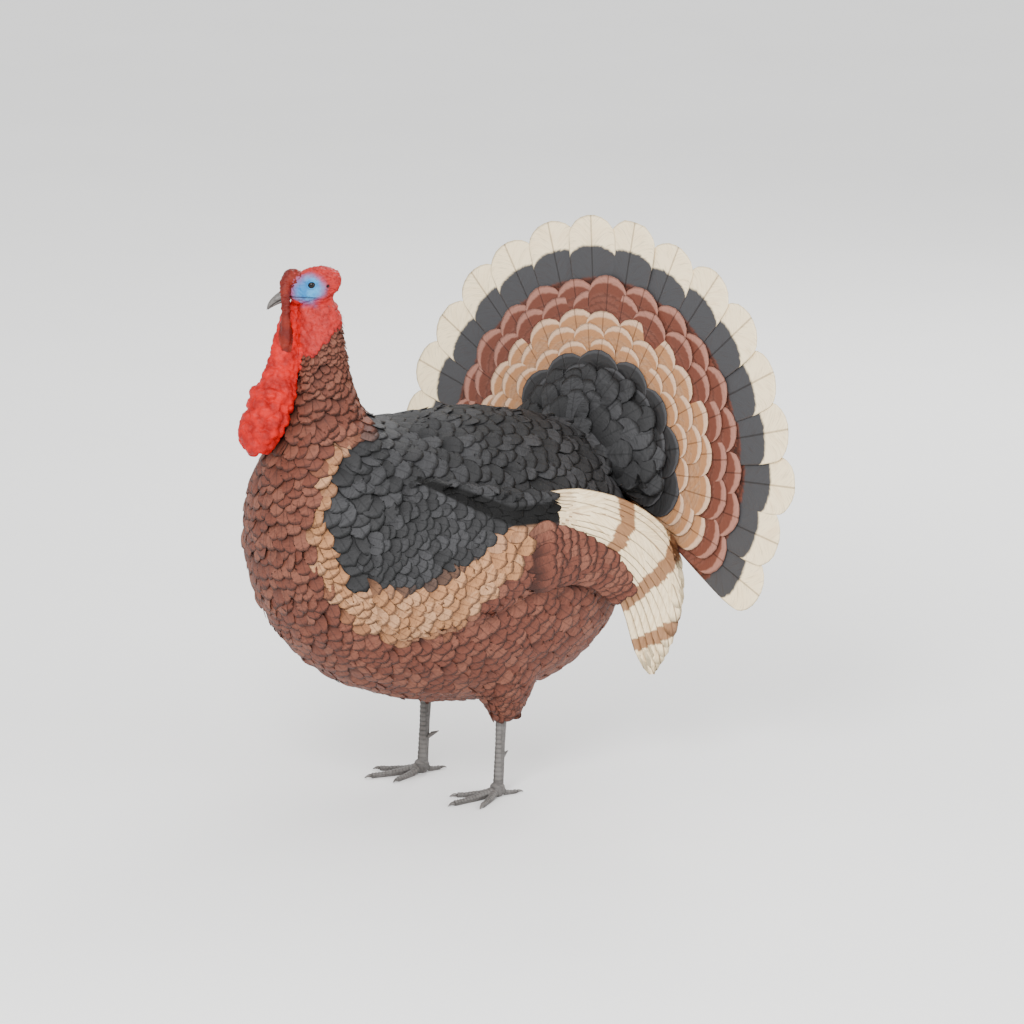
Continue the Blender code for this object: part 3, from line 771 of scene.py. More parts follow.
# Painted highlight: the raised parts of the fine wart texture are painted paler.
rose = paint.mix(paint.ramp(warts, 0.25, 0.6) * 0.35, rose, hue("AE302C"))
blue_tone = paint.mix(paint.ramp(patches, 0.35, 0.65), BLUE, hue("3F8DBE"))
red = paint.mix(paint.ramp(patches, 0.38, 0.66), RED, hue("8C0402"))
red = paint.mix(paint.ramp(fine, 0.50, 0.75) * 0.4, red, hue("DA1A0C"))
dark = paint.mix(paint.ramp(patches, 0.40, 0.62), DARK_RED, hue("701A0C"))
under = paint.mix(paint.attribute("back"), BROWN_DARK, SLATE_DARK)
under = paint.mix(paint.attribute("tan"), under, TAN_DARK)
on_blue = paint.ramp(paint.attribute("blue") + (patches - 0.5) * 0.4, 0.08, 0.92)
on_red = paint.ramp(paint.attribute("red") + (patches - 0.5) * 0.5, 0.30, 0.75)
on_snood = paint.ramp(paint.attribute("snood") + (patches - 0.5) * 0.3, 0.35, 0.65)
tone = paint.mix(on_blue, rose, blue_tone)
tone = paint.mix(on_red, tone, red)
tone = paint.mix(on_snood, tone, dark)
# Near-black painted shade in the ear hole and the mouth's corner.
tone = paint.mix(paint.attribute("hollow_shade"), tone, hue("22060A"))
tone = paint.mix(paint.ramp(paint.attribute("bare"), 0.3, 0.6), under, tone)
skin_paint = paint.done(tone, 0.45 + 0.2 * patches, [(warts, 0.35, 0.0008), (fine, 0.3, 0.0003)])
flesh_nodes = ["trunk", "neck", "head", "wattle", "snood"]
limb_nodes = ["thigh_left", "thigh_right", "wing_left", "wing_right"]
wear(skin, skin_paint, "bare_skin", *flesh_nodes, *limb_nodes)

# %% [markdown]
# ## Feathers
# A feather is a thin vane: arched across, closed below by a flat side, narrow at its root and
# rounded at its tip. Thousands share one pattern of a few dozen faces. Each is laid along the
# outline of the coat: its root starts down at the skin and its tip comes out at the surface, so
# that every feather lies over the next one, like tiles.

# %% One pattern for all feathers
class Pattern:
    """The grid of a vane: places across (-1 to 1) and along (0 to 1), and how wide it is there.
    bow is how far the round tip falls back at each place across, and reach is the true place
    along the shaft. The lower side is flat: one face to each step along, and strips across the
    round tip."""

    def __init__(self, across, along, widths, tip_round):
        self.u = np.array(across, float)
        self.v = np.array(along, float)
        self.w = np.array(widths, float)
        self.tip_round = tip_round
        self.bow = 1 - np.sqrt(np.clip(1 - self.u**2, 0, 1))
        self.reach = self.v[:, None] - self.v[:, None] ** 4 * tip_round * self.bow
        n, m = len(self.u), len(self.v)
        end = (m - 1) * n
        top = [
            (i * n + j, i * n + j + 1, (i + 1) * n + j + 1, (i + 1) * n + j)
            for i in range(m - 1)
            for j in range(n - 1)
        ]
        below = [(i * n, (i + 1) * n, (i + 1) * n + n - 1, i * n + n - 1) for i in range(m - 1)]
        below += [(end + j, end + j + 1, end + n - 2 - j, end + n - 1 - j) for j in range((n - 2) // 2)]
        self.top, self.below = np.array(top), np.array(below)
        self.caps = [list(range(n))[::-1]]
        if n % 2:
            self.caps.append([end + n // 2 - 1, end + n // 2, end + n // 2 + 1])


BODY_VANE = Pattern(
    (-1, -0.86, -0.45, 0, 0.45, 0.86, 1),
    (0, 0.2, 0.4, 0.58, 0.74, 0.86, 0.94, 1),
    (0.16, 0.48, 0.78, 0.96, 1.0, 0.98, 0.94, 0.90),
    0.24,
)
SMALL_VANE = Pattern((-1, -0.8, 0, 0.8, 1), (0, 0.3, 0.6, 0.85, 1), (0.2, 0.75, 1.0, 0.98, 0.90), 0.24)


class Plumage:
    """Gathers vanes and makes them one mesh."""

    def __init__(self, name):
        self.name = name
        self.points, self.top, self.under, self.maps, self.numbers = [], [], [], [], {}
        self.count = 0

    def add(self, pattern, line, side, top, width, arch, patch, numbers, fray=0.0, fields=()):
        """Adds n vanes. line, side and top are (n, m, 3); width is (n,), patch (n, 4) is a place
        and size on the map; numbers holds one value per vane for each marking, fields a rule
        that gives one for every point. fray makes the tips uneven. The upper side's map runs
        with the rows of the grid, the lower side's with the true place along the shaft."""
        n, m, k = len(line), len(pattern.v), len(pattern.u)
        u = pattern.u[None, None, :, None]
        half = (width[:, None] * pattern.w)[:, :, None, None]
        ahead = unit(np.gradient(line, axis=1))[:, :, None, :]
        length = np.linalg.norm(np.diff(line, axis=1), axis=2).sum(1)
        back = (pattern.v**4)[None, :, None, None] * pattern.tip_round * length[:, None, None, None]
        p = line[:, :, None, :] + side[:, :, None, :] * u * half
        thin = (1 - 0.75 * pattern.v**3)[None, :, None, None]
        p = p + top[:, :, None, :] * ((1 - u * u) * arch * half * thin)
        p = p - ahead * back * pattern.bow[None, None, :, None]
        if fray:
            uneven = fray * rng.normal(size=(n, 1, k, 1)) * length[:, None, None, None]
            p = p + ahead * uneven * (pattern.v**6)[None, :, None, None]
        base = self.count + np.arange(n)[:, None, None] * (m * k)
        self.points.append(p.reshape(-1, 3))
        self.top.append((base + pattern.top[None]).reshape(-1, 4))
        self.under.append((base + pattern.below[None]).reshape(-1, 4))
        self.under += [base[:, :, 0] + np.array(cap)[None] for cap in pattern.caps]
        sides = []
        for along in (pattern.v[:, None], pattern.reach):
            vane = np.empty((n, m, k, 2))
            vane[..., 0] = (pattern.u * 0.5 + 0.5)[None, None, :]
            vane[..., 1] = along
            spot = patch[:, None, None, :2] + vane * patch[:, None, None, 2:]
            sides.append(np.stack([spot.reshape(-1, 2), vane.reshape(-1, 2)]))
        self.maps.append(np.stack(sides))
        for key, values in numbers.items():
            self.numbers.setdefault(key, []).append(np.repeat(np.asarray(values, float), m * k))
        for key, rule in dict(fields).items():
            self.numbers.setdefault(key, []).append(rule(p.reshape(-1, 3)))
        self.count += n * m * k

    def made(self, material, slot, *replaced):
        co = np.concatenate(self.points)
        groups = self.top + self.under
        above = np.concatenate([g.ravel() for g in self.top])
        loops = np.concatenate([g.ravel() for g in groups])
        sizes = np.concatenate([np.full(len(g), g.shape[1]) for g in groups])
        maps = np.concatenate(self.maps, axis=2)
        mesh = bpy.data.meshes.new(self.name)
        mesh.vertices.add(len(co))
        mesh.vertices.foreach_set("co", co.ravel())
        mesh.loops.add(len(loops))
        mesh.loops.foreach_set("vertex_index", loops.astype(np.int32))
        mesh.polygons.add(len(sizes))
        starts = np.concatenate([[0], np.cumsum(sizes)[:-1]])
        mesh.polygons.foreach_set("loop_start", starts.astype(np.int32))
        mesh.polygons.foreach_set("use_smooth", np.ones(len(sizes), bool))
        mesh.update(calc_edges=True)
        for i, key in enumerate(("OFBake", "Vane")):
            table = np.concatenate([maps[0, i][above], maps[1, i][loops[len(above) :]]])
            mesh.uv_layers.new(name=key).data.foreach_set("uv", table.astype(np.float32).ravel())
        thing = bpy.data.objects.new(self.name, mesh)
        bpy.context.scene.collection.objects.link(thing)
        for key, values in self.numbers.items():
            attach(thing, key, np.concatenate(values))
        wear(thing, material, slot, *replaced)


# %% [markdown]
# ## Laying feathers on an outline
# A real feather follows the body's curve for most of its length. Bending thousands of vanes with
# modifiers would be slow, so each centre line is worked out: its points are set out along the lie
# of the coat and dropped on a smooth outline, deep at the root and high at the tip.

# %% Laying feathers on an outline
class Outline:
    """An even copy of some solids, to lay feathers on."""

    def __init__(self, names, size):
        thing = wrapped("outline", names, size, 0.0006)
        bm = bmesh.new()
        bm.from_mesh(thing.data)
        self.tree = BVHTree.FromBMesh(bm)
        bm.free()
        thing.data.calc_loop_triangles()
        corners = np.empty(len(thing.data.loop_triangles) * 3, np.int32)
        thing.data.loop_triangles.foreach_get("vertices", corners)
        self.corners = points(thing)[corners.reshape(-1, 3)]
        bpy.data.objects.remove(thing)

    def scattered(self, count, gap, keep):
        """Places spread over the outline with a gap that may change from place to place."""
        a, b, c = self.corners[:, 0], self.corners[:, 1], self.corners[:, 2]
        area = np.linalg.norm(np.cross(b - a, c - a), axis=1)
        pick = rng.choice(len(area), count, p=area / area.sum())
        s, t = rng.uniform(size=(2, count, 1))
        flip = s + t > 1
        s, t = np.where(flip, 1 - s, s), np.where(flip, 1 - t, t)
        places = a[pick] + (b - a)[pick] * s + (c - a)[pick] * t
        facing = unit(np.cross(b - a, c - a)[pick])
        wanted = keep(places, facing)
        places, facing = places[wanted], facing[wanted]
        kept = spaced(places, gap(places), np.arange(len(places)))
        return places[kept], facing[kept]

    def settled(self, places):
        """The nearest places on the outline and the way it faces there."""
        spots, ways = np.empty_like(places), np.empty_like(places)
        for i, place in enumerate(places):
            spot, way, _, _ = self.tree.find_nearest(Vector(place))
            spots[i], ways[i] = spot, way
        return spots, ways


def along(facing, way):
    """The part of a direction that lies in the surface."""
    return unit(way - facing * (way * facing).sum(1, keepdims=True))


def laid(outline, pattern, places, facing, way, length, root_depth, tip_lift, free=0.0):
    """Centre lines of vanes that follow an outline: they start deep and end at the surface.
    Where free is 1, and past sharp edges, they hang straight on instead of following it."""
    n, m = len(places), len(pattern.v)
    line = np.empty((n, m, 3))
    top = np.empty((n, m, 3))
    lie = along(facing, way)
    for j, v in enumerate(pattern.v):
        straight = places + lie * ((v - 0.55) * length)[:, None]
        spot, out = outline.settled(straight)
        folding = soft((out * facing).sum(1), 0.75, 0.35)
        loose = np.maximum(free * v, folding)[:, None]
        spot = spot + (straight - spot) * loose
        out = unit(out + (facing - out) * loose)
        deep = root_depth * (1 - v) ** 1.6 - tip_lift * v**2
        line[:, j] = spot - out * deep[:, None]
        top[:, j] = out
    for _ in range(2):
        top[:, 1:-1] = unit(top[:, :-2] + 2 * top[:, 1:-1] + top[:, 2:])
        line[:, 1:-1] = (line[:, :-2] + 2 * line[:, 1:-1] + line[:, 2:]) / 4
    ahead = unit(np.gradient(line, axis=1))
    side = unit(np.cross(ahead, top))
    return line, side, unit(np.cross(side, ahead))


def tilted(side, top, angle):
    """Turns vanes a little about their own length, so that neighbours slip under each other."""
    c, s = np.cos(angle)[:, None, None], np.sin(angle)[:, None, None]
    return side * c + top * s, top * c - side * s


# %% [markdown]
# ## Outline of the folded wing
# A folded wing is an arch from the shoulder to the drooping tips. A place on it is named by its
# turn about the arch's middle and its share of the arch's height. The outline is measured once in
# those terms, and a place is then found by a ray from the bird's side.

# %% Wing outline
ARCH = np.array((0.0, 0.16)) + shift[1:]
FLIGHT_VANE = Pattern(
    (-1, -0.85, -0.5, -0.1, 0.1, 0.5, 0.85, 1),
    (0, 0.07, 0.14, 0.22, 0.30, 0.38, 0.46, 0.54, 0.62, 0.70, 0.78, 0.85, 0.91, 0.96, 1),
    (0.25, 0.7, 0.9, 1, 1, 1, 1, 1, 1, 1, 0.98, 0.95, 0.90, 0.85, 0.80),
    0.075,
)


def arch_place(p):
    d = np.asarray(p)[:, 1:] - ARCH
    return np.arctan2(d[:, 1], d[:, 0]), np.linalg.norm(d, axis=1)


class Wing:
    """The outline of one folded wing, with the arch's inner and outer height for each turn."""

    def __init__(self, side):
        self.sign = 1 if side == "left" else -1
        self.outline = Outline([f"wing_{side}", f"primaries_{side}"], 0.0045)
        turn, far = arch_place(self.outline.corners.reshape(-1, 3))
        self.turns = np.radians(np.arange(6, 148, 3))
        self.inner, self.outer = np.empty(len(self.turns)), np.empty(len(self.turns))
        for i, t in enumerate(self.turns):
            near = np.abs(turn - t) < 0.04
            self.inner[i], self.outer[i] = far[near].min(), far[near].max()
        kernel = np.ones(5) / 5
        self.inner[2:-2] = np.convolve(self.inner, kernel, "valid")
        self.outer[2:-2] = np.convolve(self.outer, kernel, "valid")

    def heights(self, turn):
        return np.interp(turn, self.turns, self.inner), np.interp(turn, self.turns, self.outer)

    def spot(self, turn, share):
        """A place on the wing's outer face, by its turn and its height in the arch."""
        inner, outer = self.heights(turn)
        far = inner + (outer - inner) * share
        places = np.empty((len(turn), 3))
        places[:, 1] = ARCH[0] + far * np.cos(turn)
        places[:, 2] = ARCH[1] + far * np.sin(turn)
        facing = np.empty_like(places)
        for i, (_, y, z) in enumerate(places):
            start, way = Vector((self.sign * 0.35, y, z)), Vector((-self.sign, 0, 0))
            hit, out, _, _ = self.outline.tree.ray_cast(start, way)
            if hit is None or hit.x * self.sign < 0.08:
                hit, out, _, _ = self.outline.tree.find_nearest(Vector((self.sign * 0.21, y, z)))
            places[i, 0], facing[i] = hit.x, out
        return places, facing


wings = {side: Wing(side) for side in ("left", "right")}


def under_wing(p, facing):
    """Places that a folded wing covers."""
    hidden = np.zeros(len(p), bool)
    for i, (place, out) in enumerate(zip(p, facing)):
        start = Vector(place) + Vector(out) * 0.004
        for wing in wings.values():
            hit = wing.outline.tree.ray_cast(start, Vector(out), 0.045)
            hidden[i] |= hit[0] is not None
    return hidden


# %% [markdown]
# ## Which way the coat lies
# Feathers point away from the head, down the neck and back over the body, and round the tail's
# root they turn outwards with the fan. Combing could set this by hand; a rule that blends two
# directions does it for every place at once. The body is also unrolled into a flat map here, so
# that the colours of each feather get their own small patch.

# %% Which way the coat lies
COAT_START = np.array((0.0, -0.27, 1.02)) + shift
TUFT_PATCH = 0.003


def coat_way(p):
    """The feathers flow from the head down the neck, back over the body and out round the tail."""
    flow = unit(p - COAT_START) + np.array((0, 0.6, 0))
    place = in_tail(p)
    spread_out = unit(place * (1, 0, 1)) + (0, 0.35, 0)
    above_or_behind = np.maximum(soft(place[:, 2], -0.02, 0.05), soft(place[:, 1], 0.0, 0.02))
    near_tail = soft(np.linalg.norm(place, axis=1), 0.19, 0.10) * above_or_behind
    return flow * (1 - near_tail)[:, None] + spread_out @ np.array(TAIL_TURN).T * near_tail[:, None]


def body_map(p):
    """A place on an unwrap of the body: round its length, and along it from neck to tail."""
    q = np.asarray(p) - shift
    turn = np.arctan2(q[:, 0], q[:, 2] - 0.40 + 0.55 * (q[:, 1] + 0.05)) / (2 * math.pi) + 0.5
    run = (q[:, 1] * 0.75 - q[:, 2] * 0.66 + 0.80) / 0.92
    return np.stack([0.02 + 0.96 * turn, 0.02 + 0.96 * np.clip(run, 0, 1)], 1)


def patches_at(spots):
    """Small patches on a map, with their middles at these places."""
    return np.concatenate([spots - TUFT_PATCH / 2, np.full((len(spots), 2), TUFT_PATCH)], 1)


body = Outline(FLESH, 0.006)
print("outline triangles", len(body.corners))

# %% [markdown]
# ## Size of the feathers
# Body feathers are long and broad on the back and rump, and small on the neck and thighs. One
# rule gives length and width for any place, so that neighbours differ only a little.

# %% Size of the feathers from place to place
def feather_size(p):
    """Length and half width of the body feathers."""
    q = np.asarray(p) - shift
    neck = soft(q[:, 2], 0.62, 0.76) * soft(q[:, 1], -0.10, -0.17)
    thigh = soft(q[:, 2], 0.21, 0.16)
    back = back_share(p)
    rump = soft(np.linalg.norm(in_tail(p), axis=1), 0.20, 0.12)
    length = 0.054 + 0.010 * back + 0.006 * rump - 0.032 * neck - 0.010 * thigh
    width = 0.0165 + 0.0035 * back + 0.0040 * rump - 0.0115 * neck - 0.0065 * thigh
    return length, width


# %% [markdown]
# ## Feather paint
# A feather is darker at its root and along its rim, it has a shaft, and its barbs comb outwards
# from the shaft. A picture of one could be laid on all, but it would blur near by and repeat; the
# paint works from the vane's own two directions instead, with a different start for each feather.

# %% Feather paint
def bird_paint(name, barb_count, **gloss):
    """A feather material and its common wires: place along the shaft, distance from it, a number
    for each feather, broad streaks, and the fine comb of the barbs, which slant outwards."""
    paint = Paint(name, Specular_IOR_Level=0.22, **gloss)
    u, v = paint.vane()
    off = paint.node("ShaderNodeMath", {"operation": "ABSOLUTE"}, u - 0.5) * 2.0
    tint = paint.attribute("tint")
    slant = (v - off * 0.13) * barb_count
    wide = paint.together(slant * 0.5, u * 2.5, tint * 91.0)
    narrow = paint.together(slant * 2.2, u * 5.0, tint * 57.0)
    streaks = paint.noise(1.0, wide, detail=3.0, roughness=0.6)
    barbs = paint.noise(1.0, narrow, detail=2.0)
    return paint, v, off, tint, streaks, barbs


paint, v, off, tint, streaks, barbs = bird_paint("body feathers", 20.0)
back = paint.attribute("back")
patchy = paint.ramp(tint + (streaks - 0.5) * 1.1, 0.35, 1.0)
brown = paint.mix(paint.ramp(v + (streaks - 0.5) * 0.25, 0.30, 0.90), BROWN_DARK, BROWN)
brown = paint.mix(patchy * 0.75, brown, BROWN_LIGHT)
slate = paint.mix(paint.ramp(v + (streaks - 0.5) * 0.25, 0.30, 0.90), SLATE_DARK, SLATE)
slate = paint.mix(patchy * 0.65, slate, SLATE_LIGHT)
tan = paint.mix(paint.ramp(v + (streaks - 0.5) * 0.3, 0.30, 0.90), TAN_DARK, TAN)
tan = paint.mix(patchy * 0.5, tan, hue("C39B78"))
tone = paint.mix(back, brown, slate)
tone = paint.mix(paint.attribute("tan"), tone, tan)
dark_edge = paint.mix(back, hue("2A1814"), hue("0E0F10"))
edge = paint.ramp(v + (barbs - 0.5) * 0.06, 0.90, 0.955)
rim = paint.ramp(off + (barbs - 0.5) * 0.08, 0.86, 0.98) * paint.ramp(v, 0.45, 0.7)
rim = paint.node("ShaderNodeMath", {"operation": "MAXIMUM"}, edge, rim)
tone = paint.mix(rim * 0.60, tone, dark_edge)
tone = paint.mix(paint.ramp(barbs, 0.50, 0.70) * 0.45, tone, dark_edge)
shaft = 1.0 - paint.ramp(off, 0.02, 0.09)
tone = paint.mix(shaft * 0.40, tone, dark_edge)
# Near-black painted shadow on the feathers in the cleft between the shoulder and the folded wing.
tone = paint.mix(paint.ramp(paint.attribute("cleft_and_shadow"), 0.25, 0.60), tone, hue("020202"))
body_paint = paint.done(tone, 0.52 + 0.25 * streaks, [(barbs, 0.55, 0.0012), (shaft, 0.30, 0.0008)])

# %% [markdown]
# ## Body coat
# The feathers are scattered with gaps a little under their width, so that the tips overlap like
# tiles and no skin shows. Hair curves could stand in for them, but they aren't real mesh; these
# vanes are, and each side of the body is one object.

# %% Body coat
FRAY = 0.020
VANE_ARCH = 0.155
GAP_SHARE = 0.92
ROOT_DEPTH = 0.75


def marks(places):
    """Each feather's own tint and markings."""
    return {"tint": rng.uniform(size=len(places)), "back": back_share(places), "tan": tan_share(places)}


def coat(name, keep, tries, pattern):
    """Feathers over part of the body. Low on the thighs they hang free."""
    places, facing = body.scattered(tries, lambda p: feather_size(p)[1] * GAP_SHARE, keep)
    shown = ~under_wing(places, facing)
    places, facing = places[shown], facing[shown]
    length, width = feather_size(places)
    size = rng.uniform(0.88, 1.12, len(places))
    way = coat_way(places) + rng.normal(0, 0.07, places.shape)
    root = coat_depth(places) * ROOT_DEPTH
    lift = rng.uniform(0.0004, 0.0026, len(places))
    free = soft((places - shift)[:, 2], 0.185, 0.150)
    line, side, top = laid(body, pattern, places, facing, way, length * size, root, lift, free)
    side, top = tilted(side, top, rng.normal(0, 0.09, len(places)))
    plumage = Plumage(name)
    patch = patches_at(body_map(places))
    plumage.add(pattern, line, side, top, width * size, VANE_ARCH, patch, marks(places), FRAY)
    plumage.made(body_paint, "feather_brown")


def feathered(p):
    """Where the body's coat grows: not on bare skin, where the rings of the tail sit, or at the
    point behind the tail from which its feathers spread."""
    in_fan = in_tail(p)
    front_rim = (np.abs(in_fan[:, 1] + 0.022) < 0.024) & (in_fan[:, 2] > -0.055)
    far = np.hypot(in_fan[:, 0], in_fan[:, 2])
    back_rim = (in_fan[:, 1] > -0.022) & (far > 0.128) & (in_fan[:, 2] > -0.06)
    pole = (in_fan[:, 1] > 0.0) & (far < 0.013)
    return (bareness(p) < 0.9) & ~front_rim & ~back_rim & ~pole


def on_neck(p):
    q = p - shift
    return (q[:, 2] > 0.63) & (q[:, 1] < -0.14)


for side_name, sign in (("left", 1), ("right", -1)):
    coat(
        f"body_coat_{side_name}",
        lambda p, f: feathered(p) & ~on_neck(p) & (p[:, 0] * sign >= 0),
        40000,
        BODY_VANE,
    )
coat("neck_coat", lambda p, f: feathered(p) & on_neck(p), 60000, SMALL_VANE)

# %% [markdown]
# ## Bristles
# The bare head is not quite bare: short dark bristles, thinner than any feather, stand scattered
# on the crown and down the nape. They are tiny vanes of the same kind, laid on the skin itself.

# %% Bristles on crown and neck
def bristles():
    p, out = points(skin), normals(skin)
    h = in_head(p)
    clear = (distance_to(wattle_tree, p, 0.03) > 0.012) & (distance_to(snood_tree, p, 0.03) > 0.006)
    chosen = np.flatnonzero((bareness(p) > 0.7) & clear & (off_blue(h) >= 0.026))
    low = soft(above_border(p), 0.030, 0.004)
    kept = spaced(p, 0.0062 - 0.0032 * low, rng.permutation(chosen))
    places, facing, low = p[kept], out[kept], low[kept]
    lie = along(facing, np.array((0, 0.7, -1.0)) + rng.normal(0, 0.25, places.shape))
    length = ((0.0035 + 0.0045 * low) * rng.uniform(0.75, 1.25, len(kept)))[:, None, None]
    v = SMALL_VANE.v[None, :, None]
    rise = 0.0022 * np.sqrt(v) - 0.0008
    line = places[:, None] + lie[:, None] * v * length + facing[:, None] * rise
    ahead = unit(np.gradient(line, axis=1))
    side = unit(np.cross(ahead, np.broadcast_to(facing[:, None], line.shape)))
    plumage = Plumage("bristles")
    tint = {"tint": rng.uniform(size=len(kept))}
    width = rng.uniform(0.00018, 0.00026, len(kept)) * (1 + 1.2 * low**2)
    patch = patches_at(body_map(places))
    plumage.add(SMALL_VANE, line, side, np.cross(side, ahead), width, 0.8, patch, tint)
    plumage.made(bristle_paint, "feather_brown")


paint = Paint("bristles", Specular_IOR_Level=0.3)
tone = paint.mix(paint.attribute("tint"), hue("2A1612"), hue("5A3026"))
bristle_paint = paint.done(tone, 0.45 + 0.2 * paint.attribute("tint"))
bristles()

# %% [markdown]
# ## Wings
# The folded wing is an arch: coverts lie like tiles over the shoulder, and the long flight
# feathers bend over from under them and droop beside the tail. Each flight feather follows the
# arch at its own height, and the upper ones lie over the lower ones. The bars run across all of
# them together, so they are painted by the turn about the middle of the arch.

# %% Flight feathers
FLANK_TURN = np.radians((0, 22, 48, 65, 78, 88, 97, 150))
FLANK_SHARE = (0.04, 0.10, 0.26, 0.42, 0.58, 0.69, 0.76, 0.80)
FLIGHT_COUNT = 11
FLIGHT_TILT = 0.085


def flank_share(turn):
    """How far up the arch the brown flank feathers lap over the folded wing."""
    return np.interp(turn, FLANK_TURN, FLANK_SHARE)


def flight(side):
    """The flight feathers of one wing, the lowest first."""
    wing = wings[side]
    count, m = FLIGHT_COUNT, len(FLIGHT_VANE.v)
    line, top = np.empty((count, m, 3)), np.empty((count, m, 3))
    rank = np.linspace(0, 1, count)
    last = np.radians(7 + 32 * rank**1.5)
    first = np.radians(108 - 22 * rank)
    for j, v in enumerate(FLIGHT_VANE.v):
        turn = first + (last - first) * v
        lowest = flank_share(turn) - 0.03
        places, facing = wing.spot(turn, lowest + (0.97 - lowest) * rank)
        line[:, j], top[:, j] = places, facing
    level = np.array((wing.sign, 0, 0.0))
    for _ in range(3):
        line[:, 1:-1] = (line[:, :-2] + 2 * line[:, 1:-1] + line[:, 2:]) / 4
        top[:, 1:-1] = top[:, :-2] + top[:, 1:-1] + top[:, 2:]
        top = unit(top + 0.6 * level)
    rise = 0.0012 + 0.0007 * np.arange(count)[:, None] - 0.018 * soft(FLIGHT_VANE.v, 0.24, 0.02)[None]
    line = line + top * rise[:, :, None]
    ahead = unit(np.gradient(line, axis=1))
    out = unit(np.cross(ahead, top))
    side_way, top = tilted(out, unit(np.cross(out, ahead)), np.full(count, FLIGHT_TILT * wing.sign))
    width = 0.0205 - 0.003 * np.abs(rank - 0.4)
    patch = np.zeros((count, 4)) + (0.01, 0.01, 0.94 / count, 0.97)
    patch[:, 0] += 0.98 * (np.arange(count) / count)
    plumage = Plumage(f"flight_feathers_{side}")
    tint = {"tint": rng.uniform(size=count)}
    plumage.add(FLIGHT_VANE, line, side_way, top, width, 0.10, patch, tint, 0.002)
    plumage.made(flight_paint, "feather_cream", f"primaries_{side}")


paint, _, off, tint, streaks, barbs = bird_paint("flight feathers", 70.0)
_, y, z = paint.apart(paint.where())
turn = paint.node("ShaderNodeMath", {"operation": "ARCTAN2"}, z - float(ARCH[1]), y - float(ARCH[0]))
wave = turn * 18.3 + 1.26 - off * 0.5 + tint * 0.35 + (streaks - 0.5) * 0.7
wave = paint.node("ShaderNodeMath", {"operation": "SINE"}, wave)
bar = paint.ramp(wave, 0.50, 0.74) * (1.0 - paint.ramp(turn, 1.18, 1.36) * 0.75)
tone = paint.mix(paint.ramp(streaks, 0.35, 0.75), CREAM, CREAM_DARK)
tone = paint.mix(bar * 0.95, tone, paint.mix(streaks, TAN, TAN_DARK))
tone = paint.mix(paint.ramp(barbs, 0.50, 0.75) * 0.35, tone, TAN_DARK)
shaft = 1.0 - paint.ramp(off, 0.03, 0.10)
tone = paint.mix(shaft * 0.7, tone, TAN_DARK)
rim = paint.ramp(off + (barbs - 0.5) * 0.08, 0.88, 1.0)
tone = paint.mix(rim * 0.50, tone, TAN_DARK)
flight_paint = paint.done(tone, 0.45 + 0.25 * streaks, [(barbs, 0.5, 0.0010), (shaft, 0.5, 0.0010)])
for side in ("left", "right"):
    flight(side)

# %% [markdown]
# ## Wing coverts and flanks
# Coverts hide the roots of the flight feathers, and the flank's feathers lap over the wing's
# lower edge. Both are laid like the body's coat, but on the wing's own outline, so that they
# follow its arch and leave the cleft under the shoulder open; its darkness is painted shadow,
# near-black on the feathers there.

# %% Wing coverts
SLIT = ((-0.175, 0.564), (-0.136, 0.545), (-0.082, 0.520),
        (-0.034, 0.497), (0.020, 0.496), (0.080, 0.494))


def cleft_and_shadow_share(p):
    """1 in the cleft between shoulder and wing: feathers sit lower there and get painted shadow."""
    q = np.asarray(p) - shift
    wide = 0.005 + 0.011 * soft(q[:, 1], -0.175, -0.06)
    near = ridge(q[:, 2], border(q[:, 1], SLIT), wide)
    return near * soft(q[:, 1], -0.18, -0.165) * (1 - soft(q[:, 1], 0.055, 0.085))


def covert_size(p):
    """Length and half width of the wing's coverts."""
    q = np.asarray(p) - shift
    greater = soft(q[:, 1], -0.20, 0.0)
    band = tan_share(p)
    return 0.036 + 0.016 * greater + 0.010 * band, 0.0125 + 0.0035 * greater + 0.0025 * band


def wing_map(places):
    """A place on a map of the wing's outer face."""
    q = places - shift
    return 0.02 + 0.96 * np.stack([soft(q[:, 1], -0.36, 0.26), soft(q[:, 2], 0.20, 0.60)], 1)


